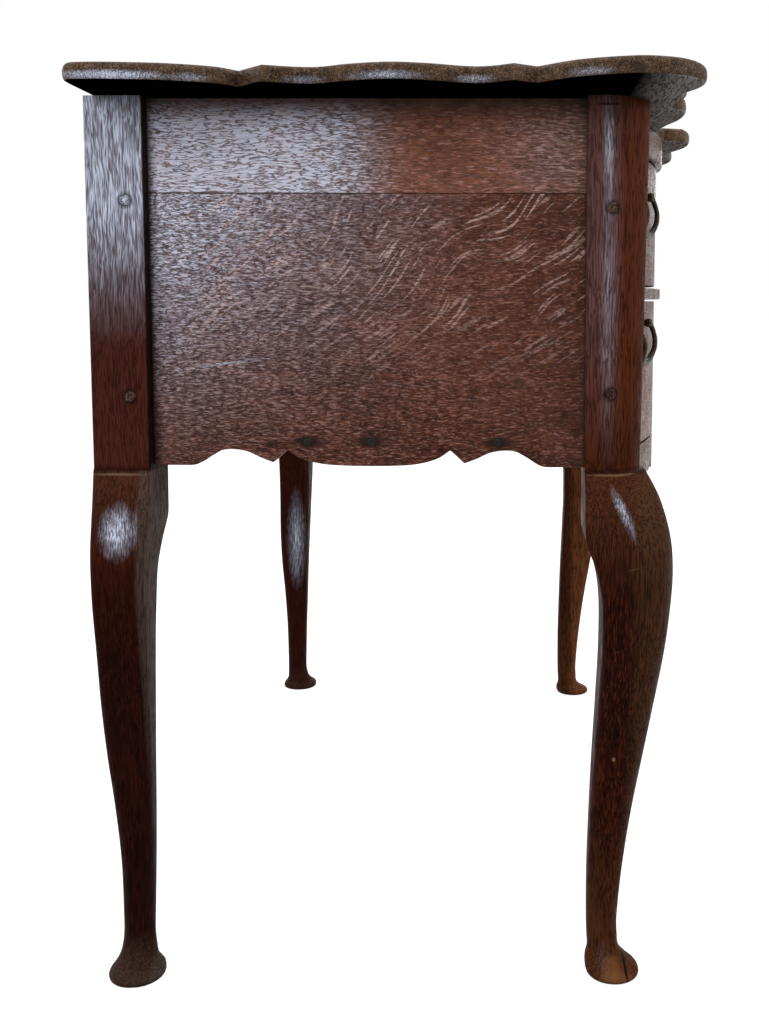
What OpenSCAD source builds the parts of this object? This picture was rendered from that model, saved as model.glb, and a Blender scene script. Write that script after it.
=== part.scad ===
/* [Overall] */
// Height from the floor to the upper face of the top
overall_h = 780; // [740:5:840]
// Width over the corner posts
case_w = 760; // [680:5:860]
// Depth from the back of the rear posts to the front of the front posts
case_d = 466; // [440:2:500]
// Height of the cabriole legs, up to the underside of the case
knee_h = 456; // [440:2:470]

/* [Top] */
// Thickness of the top board
top_t = 15; // [12:1:20]
// Overhang of the top at the middle lobe of each side
side_over = 63; // [52:1:76]
// Overhang of the big rounded lobe at each front corner
corner_over = 84; // [74:1:98]
// Overhang of the top in front of the posts, at the hollows beside the corner lobes
front_over = 29; // [22:1:36]
// How much further the two middle lobes of the front edge reach
front_lobe = 50; // [44:1:56]
// How far the rear edge of the top stands in from the back of the posts
rear_set = 5; // [2:0.5:6]

/* [Posts and legs] */
// Side of the square corner post
post = 49; // [46:1:54]
// Width of the canted outer corner of a front post
cant = 21; // [16:1:26]
// How much deeper a front post is at its top than at its knee
post_flare = 5; // [0:0.5:7]
// Swell of a front knee beyond the faces of its post
front_knee = 27.5; // [20:0.5:31]
// Swell of a rear knee beyond the side face of its post
rear_knee = 19; // [12:0.5:24]
// Thickness of a front ankle
front_ankle = 29; // [26:0.5:34]
// Thickness of a rear ankle
rear_ankle = 26; // [23:0.5:31]
// Height of the sole's rounded rim
foot_rim = 6; // [4:0.5:9]

/* [Sides and back] */
// Distance from the post's face back to the side board
board_set = 12; // [8:1:15]
// Thickness of the side boards
board_t = 14; // [10:1:16]
// Height of the joint between the two side boards
board_joint = 687; // [660:1:710]
// Length of the tongue that each side board has in its post
tongue_l = 30; // [22:1:31]
// Thickness of that tongue
tongue_t = 8; // [6:0.5:9]
// Height of the cut-outs in the lower edge of a side board
scallop_h = 14; // [8:1:20]
// Diameter of the oak pegs
peg_d = 9; // [6:0.5:11]
// Thickness of the back boards
back_t = 10; // [7:0.5:13]
// Height of the joint between the two back boards
back_joint = 612; // [580:1:650]

/* [Front] */
// Reach of the front's two swells beyond the posts
swell = 48; // [36:1:56]
// Reach of the front at its hollow centre
centre_swell = 38; // [26:1:50]
// Distance from the centre to the crest of each swell
crest_x = 75; // [60:1:100]
// How far a drawer front stands back from the rails
drawer_set = 6; // [3:0.5:8]
// Height of the top rail
top_rail_h = 27.5; // [24:0.5:36]
// Thickness of the rail between the drawers
mid_rail_t = 11.5; // [10:0.5:16]
// Height of the upper face of the rail between the drawers
mid_rail_z = 611; // [600:1:625]
// Depth of the rail between the drawers, back from the front of the posts
mid_rail_deep = 85; // [70:1:110]
// Height of the shaped apron rail
apron_h = 38; // [34:1:44]
// Thickness of the top rail and the apron where they meet the posts
rail_t = 34; // [26:1:38]

/* [Drawers] */
// Gap between a drawer front and the rails
front_gap = 2; // [1:0.25:3]
// Gap between a drawer and the posts at each side
side_gap = 1; // [0.5:0.25:2]
// Gap between the sliding faces of drawers and runners
run_gap = 0.3; // [0.2:0.1:0.6]
// Thickness of a drawer front at its ends
front_t = 22; // [20:1:28]
// Thickness of the drawer sides
side_t = 11; // [9:0.5:13]
// Thickness of the drawer backs
rear_t = 10; // [8:0.5:13]
// Thickness of the drawer bottoms
bottom_t = 7; // [5:0.5:9]
// Depth of the groove that holds a drawer bottom
groove = 5; // [3:0.5:6]
// Height of that groove above the lower edge of the drawer side
groove_up = 6; // [4:0.5:9]
// Thickness of the lower runners
runner_t = 14; // [12:0.5:18]
// Width of a runner's bearing part beside the post
runner_in = 26; // [20:1:34]
// Height of the lower runners' undersides above the case's lower edge
runner_up = 14; // [12:1:18]

/* [Handles and locks] */
// Distance between a handle's two posts
stud_gap = 64; // [56:1:76]
// Distance from the outer face of the posts in to the middle of each handle
handle_in = 137; // [125:1:155]
// Distance from the upper edge of the upper drawer front down to its handle's pivot
upper_pivot = 38; // [32:1:44]
// Distance from the upper edge of the lower drawer front down to its handle's pivot
lower_pivot = 21; // [18:1:40]
// Distance from the drawer front out to the pivot
pivot_out = 8; // [7.5:0.5:10]
// Drop of the bail below its pivot
bail_drop = 38; // [34:1:44]
// Thickness of the bail rod
bail_d = 5; // [4:0.25:6]
// Radius of the pins at the bail's ends
pin_r = 1.6; // [1.2:0.1:2]
// Clearance round those pins
pin_gap = 0.05; // [0.02:0.01:0.1]
// Thickness of the brass plates
plate_t = 1.6; // [1:0.2:2.4]
// Width of a lock
lock_w = 58; // [44:1:70]
// Height of a lock
lock_h = 42; // [34:1:50]
// Depth of a lock
lock_t = 12; // [10:0.5:14]
// Travel of a lock's bolt
bolt_throw = 6; // [4:0.5:7]

/* [Hidden] */

oak = "#5a2a18";
inner_oak = "#8a6238";
iron = "#2a2622";
brass = "#5c4a2c";

half = case_w / 2;
top_z = overall_h - top_t;
front_peak = front_over + front_lobe;
back_y = (case_d + front_peak) / 2;
inner_x = half - post;
handle_x = half - handle_in;
board_x = half - board_set;
apron_z = knee_h - apron_h;
top_rail_z = top_z - top_rail_h;
mid_low = mid_rail_z - mid_rail_t;
lower_run_z = knee_h + runner_up + runner_t;
rebate_w = 12;
back_set = 3;
tenon_l = 18;
round_n = 32;

// Smooth curves through a few chosen points
function cr(a, b, c, d, t) =
    0.5 * (2 * b + (c - a) * t + (2 * a - 5 * b + 4 * c - d) * t * t
    + (3 * b - a - 3 * c + d) * t * t * t);
function spline(p, n) = [
    for (i = [0:len(p) - 2], j = [0:n - 1])
    cr(p[max(i - 1, 0)], p[i], p[i + 1], p[min(i + 2, len(p) - 1)], j / n),
    p[len(p) - 1]];
function flipped(p) = [for (i = [len(p) - 1:-1:0]) [-p[i][0], p[i][1]]];
function plan(p) = [for (q = p) [q[0], back_y - q[1]]];

// A box between two x values, two depths from the back and two heights
module block(x0, x1, d0, d1, z0, z1) {
    translate([min(x0, x1), back_y - d1, z0])
        cube([abs(x1 - x0), d1 - d0, z1 - z0]);
}
// An outline of depths and heights, extruded from x0 to x1
module side_prism(p, x0, x1) {
    translate([x0, 0, 0]) rotate([90, 0, 90])
        linear_extrude(x1 - x0) polygon([for (q = p) [back_y - q[0], q[1]]]);
}
// An outline of x values and heights, extruded between two depths
module front_prism(p, d0, d1) {
    translate([0, back_y - d0, 0]) rotate([90, 0, 0])
        linear_extrude(d1 - d0) polygon(p);
}
// An outline of x values and depths, extruded between two heights
module plan_prism(p, z0, z1) {
    translate([0, 0, z0]) linear_extrude(z1 - z0) polygon(plan(p));
}
module right_side() {
    mirror([1, 0, 0]) children();
}
module both_sides() {
    children();
    mirror([1, 0, 0]) children();
}

// A solid through rings with equal counts of points, counterclockwise seen from the last ring
module loft(rings) {
    n = len(rings[0]);
    m = len(rings);
    polyhedron(
        points = [for (r = rings, p = r) p],
        faces = [
            [for (i = [0:n - 1]) i],
            for (k = [0:m - 2], i = [0:n - 1])
                [k * n + i, (k + 1) * n + i, (k + 1) * n + (i + 1) % n, k * n + (i + 1) % n],
            [for (i = [0:n - 1]) m * n - 1 - i]
        ]);
}

// The top. Each point is [x, depth from the back] on the left half of its edge.
rear_lobe = [
    [-half - side_over + 16, rear_set], [-half - side_over + 5, rear_set + 2],
    [-half - side_over, rear_set + 11], [-half - side_over - 1, case_d * 0.084],
    [-half - side_over + 4, case_d * 0.18], [-half - side_over + 17, case_d * 0.26],
    [-half - side_over + 32, case_d * 0.293]];
middle_lobe = [
    [-half - side_over + 10, case_d * 0.34], [-half - side_over + 20, case_d * 0.421],
    [-half - side_over + 8, case_d * 0.484], [-half - side_over, case_d * 0.558],
    [-half - side_over + 6, case_d * 0.626], [-half - side_over + 18, case_d * 0.703],
    [-half - side_over + 5, case_d * 0.764]];
corner_lobe = [
    [-half - side_over + 17, case_d - 92], [-half - corner_over + 16, case_d - 65.5],
    [-half - corner_over + 3, case_d - 33], [-half - corner_over, case_d - 7],
    [-half - corner_over + 10, case_d + front_over - 9.5],
    [-half - corner_over + 31, case_d + front_over + 8],
    [-half - 30, case_d + front_over + 11], [-half + 3, case_d + front_over - 1]];
small_lobe = [
    [-half * 0.947, case_d + front_over + 5], [-half * 0.9, case_d + front_over + 2],
    [-half * 0.826, case_d + front_over], [-half * 0.79, case_d + front_over + 11],
    [-half * 0.724, case_d + front_over + 17], [-half * 0.645, case_d + front_over + 16],
    [-half * 0.56, case_d + front_over + 9], [-half * 0.46, case_d + front_over + 5],
    [-half * 0.37, case_d + front_over + 9], [-half * 0.295, case_d + front_over + 19]];
front_lobes = [
    [-half * 0.274, case_d + front_peak - 8], [-half * 0.224, case_d + front_peak - 1],
    [-half * 0.16, case_d + front_peak], [-half * 0.09, case_d + front_peak - 6],
    [-half * 0.035, case_d + front_peak - 12], [0, case_d + front_peak - 13.5]];
top_left = concat(
    spline(rear_lobe, 3), spline(middle_lobe, 4),
    spline(corner_lobe, 4), spline(small_lobe, 3), spline(front_lobes, 3));
top_edge = concat([for (i = [0:len(top_left) - 2]) top_left[i]], flipped(top_left));

function unit(v) = v / max(norm(v), 0.001);
function inset_point(p, i, d) =
    let (n = len(p), a = unit(p[i] - p[(i + n - 1) % n]), b = unit(p[(i + 1) % n] - p[i]),
        m = unit([-(a[1] + b[1]), a[0] + b[0]]), c = max(m * [-a[1], a[0]], 0.55))
    p[i] + m * d / c;
// The edge's rounding: [share of the thickness, inset]
edge_rings = [[0, 4.5], [0.07, 2], [0.25, 0.3], [0.6, 0.2], [0.86, 2.2], [1, 6.5]];
// The point nearest to p on a rounded rectangle well inside the top
inner_r = 60;
inner_margin = 90;
function inner_point(p) =
    let (w = half - inner_margin, h = case_d / 2 - inner_margin,
        c = [max(-w, min(w, p[0])), max(-h, min(h, p[1]))])
    c + inner_r * unit(p - c);
function edge_ring(r) = let (edge = plan(top_edge))
    [for (i = [0:len(edge) - 1]) let (q = inset_point(edge, i, r[1]))
        [q[0], q[1], top_z + r[0] * top_t]];
function inner_ring(z) = [for (p = plan(top_edge)) let (q = inner_point(p)) [q[0], q[1], z]];
module top() {
    color(oak) difference() {
        loft(concat([inner_ring(top_z)], [for (r = edge_rings) edge_ring(r)],
            [inner_ring(overall_h)]));
        top_peg_solids(1);
    }
}
top_peg_d = 9;
top_peg_l = 45;
top_peg_side = 28;
top_peg_rear = 16;
top_peg_front = 12;
module top_peg_solids(over) {
    both_sides() for (d = [top_peg_rear, case_d - top_peg_front])
        translate([half - top_peg_side, back_y - d, overall_h - top_peg_l])
            cylinder(d = top_peg_d, h = top_peg_l + over - 1, $fn = round_n);
}
module top_pegs() {
    color(oak) top_peg_solids(1);
}

// A leg's cross-section: the outer corner of size c is a cant where round is 0 and an arc where
// it is 1; the other corners have the radius r. s runs in from the side face, e from the front
// or back face.
corner_n = 6;
small_n = 3;
function section(s0, s1, e0, e1, c, round, r) = concat(
    [for (i = [0:corner_n]) let (t = i / corner_n, a = 90 * t)
        [s0 + c * ((1 - round) * t + round * (1 - cos(a))),
         e0 + c * ((1 - round) * (1 - t) + round * (1 - sin(a)))]],
    [for (i = [0:small_n]) let (a = 90 * i / small_n)
        [s1 - r + r * sin(a), e0 + r - r * cos(a)]],
    [for (i = [0:small_n]) let (a = 90 * i / small_n)
        [s1 - r + r * cos(a), e1 - r + r * sin(a)]],
    [for (i = [0:small_n]) let (a = 90 * i / small_n)
        [s0 + r - r * sin(a), e1 - r + r * cos(a)]]);

// Stations up a leg: [height, s0, s1, e0, e1, corner, roundness, other radii]
fa = front_ankle;
front_leg_line = [
    [0, 0, 37, 0, 37, 18, 1, 17.9], [foot_rim * 0.3, -4.5, 41.5, -4.5, 41.5, 22.5, 1, 22],
    [foot_rim, -3.5, 43, -3.5, 43, 23, 1, 22], [foot_rim + 6, 5.5, 43, 5.5, 43, 18, 1, 18],
    [20, 12.5, 12 + fa, 12.5, 12 + fa, 14, 1, 14], [32, 14, 12.5 + fa, 14, 12.5 + fa, 13, 1, 13],
    [knee_h * 0.11, 14.2, 13 + fa, 14.2, 13 + fa, 13, 1, 12],
    [knee_h * 0.21, 10.5, 13 + fa, 10.5, 13 + fa, 14, 1, 11],
    [knee_h * 0.33, 3.5, 11.5 + fa, 3.5, 11.5 + fa, 17, 1, 10],
    [knee_h * 0.44, -front_knee * 0.18, 38.5, -front_knee * 0.18, 38.5, 21, 0.95, 8],
    [knee_h * 0.55, -front_knee * 0.5, 36, -front_knee * 0.5, 36, 26, 0.9, 7],
    [knee_h * 0.66, -front_knee * 0.8, 34, -front_knee * 0.8, 34, 30, 0.85, 6],
    [knee_h * 0.757, -front_knee * 0.97, 34.5, -front_knee * 0.97, 34.5, 33, 0.8, 5],
    [knee_h * 0.822, -front_knee, 40, -front_knee, 40, 34, 0.75, 4],
    [knee_h * 0.88, -front_knee * 0.9, post, -front_knee * 0.9, post, 34, 0.65, 3],
    [knee_h * 0.943, -front_knee * 0.6, post, -front_knee * 0.6, post, 32, 0.5, 2.5],
    [knee_h - 3, -front_knee * 0.17, post, -front_knee * 0.17, post, 27, 0.3, 2]];
front_post_line = [
    [knee_h - 1, 0, post, 0, post, cant, 0.12, 1.5],
    [top_z, 0, post, -post_flare, post, cant + post_flare, 0.12, 1.5]];

ra = rear_ankle;
rear_leg_line = [
    [0, -17, 25, 2.5, 44.5, 20.5, 1, 20.5], [foot_rim * 0.3, -20, 29, 0.5, 50.5, 24, 1, 24],
    [foot_rim, -19, 28, 1, 49.4, 23, 1, 23], [foot_rim + 7, -10, 26, 6, 42.5, 18, 1, 18],
    [21, -2, 28, 8.8, 39, 14.5, 1, 14.5], [34, 3, 3.5 + ra, 9.8, 11 + ra, 13, 1, 13],
    [knee_h * 0.12, 4, 4 + ra, 10, 11.3 + ra, 12, 1, 12],
    [knee_h * 0.22, 4.2, 4.6 + ra, 9.5, 12.5 + ra, 11, 1, 11],
    [knee_h * 0.33, 1.8, 3 + ra, 6.5, 14 + ra, 10, 1, 10],
    [knee_h * 0.44, -rear_knee * 0.06, 26.5, 2, 41.3, 9, 1, 9],
    [knee_h * 0.54, -rear_knee * 0.29, 24.5, 0, 42.7, 8, 1, 8],
    [knee_h * 0.65, -rear_knee * 0.63, 23, 0, 44, 7, 1, 7],
    [knee_h * 0.735, -rear_knee * 0.9, 24, 0, 45, 6, 1, 6],
    [knee_h * 0.80, -rear_knee, 28, 0, 45.5, 6, 1, 5],
    [knee_h * 0.85, -rear_knee * 0.95, 38, 0, 46.8, 6, 1, 4],
    [knee_h * 0.895, -rear_knee * 0.74, post - 1, 0, post, 6, 1, 3],
    [knee_h * 0.943, -rear_knee * 0.45, post, 0, post, 5, 1, 2.5],
    [knee_h - 3, -rear_knee * 0.15, post, 0, post, 3, 1, 2]];
rear_post_line = [
    [knee_h - 1, 0, post, 0, post, 1.5, 1, 1.5],
    [top_z, 0, post, 0, post, 1.5, 1, 1.5]];

function leg_rings(line, posts, front) = [
    for (q = concat(spline(line, 2), posts))
    [for (p = section(q[1], min(q[2], post), q[3], min(q[4], post), q[5], q[6], q[7]))
        [-half + p[0], front ? back_y - case_d + p[1] : back_y - p[1], q[0]]]];
function turned(rings) = [for (r = rings) [for (i = [len(r) - 1:-1:0]) r[i]]];

module front_leg() {
    color(oak) difference() {
        loft(leg_rings(front_leg_line, front_post_line, true));
        left_side_groove(case_d - post - 1, case_d - post + tongue_l);
        top_rail_tenons();
        middle_rail_tenons();
        apron_tenons();
        runner_tenons();
        board_peg_solids();
        top_peg_solids(2);
    }
}
module rear_leg() {
    color(oak) difference() {
        loft(turned(leg_rings(rear_leg_line, rear_post_line, false)));
        left_side_groove(post - tongue_l, post + 1);
        back_rail_tenons();
        runner_tenons();
        block(-inner_x - rebate_w, -inner_x + 1, -1, back_set + back_t, knee_h + 2, top_z + 1);
        board_peg_solids();
        back_nail_solids(0);
        top_peg_solids(2);
    }
}
module front_left_leg() { front_leg(); }
module front_right_leg() { right_side() front_leg(); }
module rear_left_leg() { rear_leg(); }
module rear_right_leg() { right_side() rear_leg(); }

// The side boards, housed by tongues in grooves in the posts
tongue_x = board_x - (board_t - tongue_t) / 2;
module left_side_groove(d0, d1) {
    block(-tongue_x, -tongue_x + tongue_t, d0, d1, knee_h, top_z + 1);
}
module left_side_board(z0, z1) {
    block(-board_x, -board_x + board_t, post, case_d - post, z0, z1);
    block(-tongue_x, -tongue_x + tongue_t, post - tongue_l, case_d - post + tongue_l, z0, z1);
}
// Half of the lower edge, from the post to the middle: [distance from the middle, height up]
scallop = concat(
    spline([[161, 0], [148, 0.05], [136, 0.55], [126, 0.93], [116, 1], [104, 0.86], [93, 0.5],
        [82, 0.2]], 3),
    spline([[70, 1], [58, 0.45], [40, 0.12], [20, 0.02], [0, 0]], 3));
scallop_scale = (case_d - 2 * post) / 368;
side_mid = case_d / 2;
scallop_edge = [for (q = scallop) [side_mid - q[0] * scallop_scale, knee_h + scallop_h * q[1]]];
scallop_cut = concat(
    [[post, knee_h - 5]], [[post, knee_h]], scallop_edge,
    [for (i = [len(scallop_edge) - 2:-1:0]) [case_d - scallop_edge[i][0], scallop_edge[i][1]]],
    [[case_d - post, knee_h]], [[case_d - post, knee_h - 5]]);
module left_upper_board() {
    color(oak) difference() {
        left_side_board(board_joint, top_z);
        board_peg_solids();
    }
}
module left_lower_board() {
    color(oak) difference() {
        left_side_board(knee_h, board_joint);
        side_prism(scallop_cut, -board_x - 1, -board_x + board_t + 1);
        board_peg_solids();
        runner_nail_solids();
    }
}
module left_upper_side_board() { left_upper_board(); }
module left_lower_side_board() { left_lower_board(); }
module right_upper_side_board() { right_side() left_upper_board(); }
module right_lower_side_board() { right_side() left_lower_board(); }

// Two pegs through each post and the tongue in it
peg_l = 34;
peg_in = 33;
peg_front = 28;
// Depth from the back and height of each peg
peg_spots = [
    [peg_in, knee_h + 60], [peg_in, board_joint - 7],
    [case_d - peg_front, knee_h + 64], [case_d - peg_front, board_joint - 13]];
module board_peg_solids() {
    for (p = peg_spots)
        translate([-half, back_y - p[0], p[1]]) rotate([0, 90, 0])
            cylinder(d = peg_d, h = peg_l, $fn = round_n);
}
module board_pegs() {
    color(inner_oak) both_sides() board_peg_solids();
}

// The back: two boards nailed into rebates in the rear posts, and two rails
back_x = inner_x + rebate_w;
back_low = knee_h + 2;
module back_board(z0, z1) {
    color(inner_oak) difference() {
        block(-back_x, back_x, back_set, back_set + back_t, z0, z1);
        both_sides() back_nail_solids(0);
    }
}
module back_upper_board() { back_board(back_joint, top_z); }
module back_lower_board() { back_board(back_low, back_joint); }
nail_r = 1.4;
back_nail_l = 32;
back_rail_h = 28;
back_nail_shares = [0.14, 0.5, 0.86];
back_nail_z = [
    for (b = [[back_low + back_rail_h, back_joint], [back_joint, top_z - back_rail_h]],
        f = back_nail_shares) b[0] + (b[1] - b[0]) * f];
module back_nail_solids(head) {
    for (z = back_nail_z)
        translate([-inner_x - rebate_w / 2, back_y - back_set, z]) rotate([90, 0, 0]) {
            cylinder(r = nail_r, h = back_nail_l, $fn = round_n);
            if (head > 0) translate([0, 0, -1]) cylinder(r = 3.5, h = 1, $fn = round_n);
        }
}
module back_nails() {
    color(iron) both_sides() back_nail_solids(1);
}
back_rail_d = back_set + back_t;
back_rail_t = 24;
rear_tenon_t = 10;
module back_rail_tenon(z) {
    block(-inner_x - tenon_l, -inner_x + 1, back_rail_d + 8, back_rail_d + 8 + rear_tenon_t,
        z + 6, z + back_rail_h - 6);
}
module back_rail_tenons() {
    back_rail_tenon(back_low);
    back_rail_tenon(top_z - back_rail_h);
}
module back_rail(z) {
    color(inner_oak) union() {
        block(-inner_x, inner_x, back_rail_d, back_rail_d + back_rail_t, z, z + back_rail_h);
        both_sides() back_rail_tenon(z);
    }
}
module back_top_rail() { back_rail(top_z - back_rail_h); }
module back_bottom_rail() { back_rail(back_low); }

// The front's plan: two swells with a hollow between them, falling back to the posts
function reach(x) = let (u = abs(x))
    u < crest_x
        ? centre_swell + (swell - centre_swell) * (1 - cos(180 * u / crest_x)) / 2
        : swell * (1 + cos(180 * min(1, (u - crest_x) / (inner_x - crest_x)))) / 2;
function slope(x) = (reach(x + 0.5) - reach(x - 0.5));
front_steps = 44;
function front_curve(out, w) = [
    for (i = [0:front_steps]) let (x = -w + 2 * w * i / front_steps)
    [x, case_d + out + reach(x)]];
module front_piece(back, out, w, z0, z1) {
    plan_prism(concat([[-w, back]], front_curve(out, w), [[w, back]]), z0, z1);
}

tenon_t = 12;
tenon_d = case_d - rail_t + 4 + tenon_t;
module rail_tenon(z0, z1) {
    block(-inner_x - tenon_l, -inner_x + 1, tenon_d - tenon_t, tenon_d, z0, z1);
}
module top_rail_tenons() { rail_tenon(top_rail_z + 6, top_z - 5); }
module apron_tenons() { rail_tenon(apron_z + 9, knee_h - 8); }
mid_tenon_t = 6;
module middle_rail_tenons() {
    block(-inner_x - tenon_l, -inner_x + 1, case_d - post + runner_stub + 1, case_d - 18,
        mid_low + (mid_rail_t - mid_tenon_t) / 2, mid_low + (mid_rail_t + mid_tenon_t) / 2);
}
module top_rail() {
    color(oak) difference() {
        union() {
            front_piece(case_d - rail_t, 0, inner_x, top_rail_z, top_z);
            both_sides() top_rail_tenons();
        }
        bolt_mortise(top_rail_z);
    }
}
module middle_rail() {
    color(oak) difference() {
        union() {
            front_piece(case_d - mid_rail_deep, 0, inner_x, mid_low, mid_rail_z);
            both_sides() middle_rail_tenons();
        }
        bolt_mortise(mid_low);
    }
}
// Half of the apron's lower edge: [share of the way from the centre to the post, height up]
apron_line = concat(
    spline([[0, 0.1], [0.12, 0.03], [0.26, 0], [0.36, 0.12], [0.42, 0.62]], 3),
    spline([[0.46, 0.2], [0.52, 0.32], [0.6, 0.78], [0.7, 1], [0.8, 0.9], [0.9, 0.42], [1, 0.12]],
        3));
apron_cut_h = 17;
apron_edge = [for (q = apron_line) [q[0] * inner_x, apron_z + apron_cut_h * q[1]]];
module apron_rail() {
    cut = concat([[inner_x + 1, apron_z - 5]], [[-inner_x - 1, apron_z - 5]],
        [for (i = [len(apron_edge) - 1:-1:1]) [-apron_edge[i][0], apron_edge[i][1]]], apron_edge);
    color(oak) difference() {
        union() {
            front_piece(case_d - rail_t, -drawer_set, inner_x, apron_z, knee_h - 0.5);
            both_sides() apron_tenons();
        }
        front_prism(cut, case_d - rail_t - 1, case_d + swell + 5);
    }
}

// Runners, guides and kickers between the posts
runner_x0 = board_x - board_t;
runner_x1 = inner_x - runner_in;
runner_stub = 12;
module runner_tenon(z, t) {
    for (d = [[post - runner_stub, post + 1], [case_d - post - 1, case_d - post + runner_stub]])
        block(-runner_x0 + 3, -inner_x - 3, d[0], d[1], z + 2, z + t - 2);
}
module runner_tenons() {
    runner_tenon(lower_run_z - runner_t, runner_t);
    runner_tenon(mid_low, mid_rail_t);
    runner_tenon(kicker_z, kicker_t);
}
module runner(z, t, d1) {
    color(inner_oak) difference() {
        union() {
            block(-runner_x0, -runner_x1, post, d1, z, z + t);
            block(-runner_x0, -inner_x, post, case_d - post, z, z + t);
            runner_tenon(z, t);
        }
        runner_nail_solids();
    }
}
mid_back = case_d - mid_rail_deep;
module lower_left_runner() { runner(lower_run_z - runner_t, runner_t, case_d - post); }
module lower_right_runner() { right_side() lower_left_runner(); }
module upper_left_runner() { runner(mid_low, mid_rail_t, mid_back); }
module upper_right_runner() { right_side() upper_left_runner(); }
guide_h = 22;
module guide(z) {
    color(inner_oak) block(-runner_x0, -inner_x, post, case_d - post, z, z + guide_h);
}
module upper_left_guide() { guide(mid_rail_z); }
module upper_right_guide() { right_side() guide(mid_rail_z); }
module lower_left_guide() { guide(lower_run_z); }
module lower_right_guide() { right_side() guide(lower_run_z); }
kicker_t = 18;
kicker_z = top_rail_z + 0.5;
module left_kicker() { runner(kicker_z, kicker_t, case_d - post); }
module right_kicker() { right_side() left_kicker(); }

// Iron nails through the lower side board into its runner: shares of the case's depth
nail_spots = [0.388, 0.506, 0.737];
nail_z = lower_run_z - runner_t / 2;
nail_head_r = 4;
module runner_nail_solids() {
    for (f = nail_spots)
        translate([-board_x, back_y - case_d * f, nail_z]) rotate([0, 90, 0]) {
            cylinder(r = nail_r, h = board_t + 12, $fn = round_n);
            cylinder(r = nail_head_r, h = 1, $fn = round_n);
        }
}
module runner_nails() {
    color(iron) both_sides() runner_nail_solids();
}

// Stops: the upper pair behind the drawer front, the lower pair behind the drawer sides
stop_h = 5;
stop_w = 34;
stop_x = 150;
stop_l = 24;
drawer_back = 62;
module upper_stops() {
    color(inner_oak) both_sides() block(-stop_x - stop_w, -stop_x,
        case_d - drawer_set - front_t - stop_l, case_d - drawer_set - front_t - run_gap,
        mid_rail_z, mid_rail_z + stop_h);
}
module lower_stops() {
    color(inner_oak) both_sides() block(-inner_x + 2, -runner_x1 - 2,
        drawer_back - 11, drawer_back - run_gap, lower_run_z, lower_run_z + 9);
}

// The drawers
draw_x = inner_x - side_gap;
front_in = case_d - drawer_set - front_t;
lap = 6;
tail_l = front_t - lap;
upper_front = [mid_rail_z + front_gap, top_rail_z - front_gap];
lower_front = [knee_h - 0.5 + front_gap, mid_low - front_gap];
side_low = 9;
upper_side = [mid_rail_z + run_gap, kicker_z - side_low];
lower_side = [lower_run_z + run_gap, mid_low - side_low];

// Dovetails on a side's end: each is narrow at d0 and wide at d1
module tails(side, d0, d1) {
    n = 3;
    pitch = (side[1] - side[0]) / n;
    neck = pitch * 0.27;
    wide = pitch * 0.36;
    for (i = [0:n - 1]) {
        c = side[0] + pitch * (i + 0.5);
        side_prism([[d0, c - neck], [d1, c - wide], [d1, c + wide], [d0, c + neck]],
            -draw_x, -draw_x + side_t);
    }
}
module drawer_tails(side) {
    tails(side, front_in, front_in + tail_l);
    tails(side, drawer_back + rear_t, drawer_back);
}
module bottom_solid(side) {
    block(-draw_x + side_t - groove, draw_x - side_t + groove, drawer_back, front_in + groove,
        side[0] + groove_up, side[0] + groove_up + bottom_t);
}
module drawer_left_side(side) {
    color(inner_oak) difference() {
        union() {
            block(-draw_x, -draw_x + side_t, drawer_back + rear_t, front_in, side[0], side[1]);
            drawer_tails(side);
        }
        bottom_solid(side);
    }
}
module drawer_front(face, side, pivot) {
    color(oak) difference() {
        front_piece(front_in, -drawer_set, draw_x, face[0], face[1]);
        both_sides() drawer_tails(side);
        bottom_solid(side);
        lock_solid(face[1], 1);
        keyhole(face[1] - key_drop, front_in, case_d + swell);
        both_sides() stud_bores(face[1] - pivot);
    }
}
module drawer_back_board(side) {
    color(inner_oak) difference() {
        block(-draw_x, draw_x, drawer_back, drawer_back + rear_t,
            side[0] + groove_up + bottom_t, side[1] - 4);
        both_sides() drawer_tails(side);
    }
}
module drawer_bottom(side) {
    color(inner_oak) bottom_solid(side);
}
module upper_drawer_front() { drawer_front(upper_front, upper_side, upper_pivot); }
module upper_drawer_left_side() { drawer_left_side(upper_side); }
module upper_drawer_right_side() { right_side() drawer_left_side(upper_side); }
module upper_drawer_back() { drawer_back_board(upper_side); }
module upper_drawer_bottom() { drawer_bottom(upper_side); }
module lower_drawer_front() { drawer_front(lower_front, lower_side, lower_pivot); }
module lower_drawer_left_side() { drawer_left_side(lower_side); }
module lower_drawer_right_side() { right_side() drawer_left_side(lower_side); }
module lower_drawer_back() { drawer_back_board(lower_side); }
module lower_drawer_bottom() { drawer_bottom(lower_side); }

// A handle's own frame: x along the drawer front, -y out of it, z up, at the left handle
function face_d(x) = case_d - drawer_set + reach(x);
module handle_at(z) {
    translate([-handle_x, back_y - face_d(handle_x), z])
        rotate([0, 0, -atan(slope(-handle_x))]) children();
}
module stud_at(z, u) {
    handle_at(z) translate([u * stud_gap / 2, 0, 0]) rotate([90, 0, 0]) children();
}
// Where a stud's line meets the flat inner face of the drawer front: [x, length behind the plate]
function stud_end(u) = let (k = slope(-handle_x), c = cos(atan(k)), s = sin(atan(k)),
    run = (face_d(handle_x) + u * stud_gap / 2 * s - front_in) / c)
    [-handle_x + u * stud_gap / 2 * c + run * s, run];
// How far the curved face stands out from the handle's plane, v across from its middle
function lift(v) = let (k = slope(-handle_x), c = cos(atan(k)), s = sin(atan(k)))
    (face_d(-handle_x + v * c) - face_d(handle_x) - v * s) * c;
stud_r = 2;
stud_gap_r = 0.15;
collar_r = 5;
collar_gap = 0.15;
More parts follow.
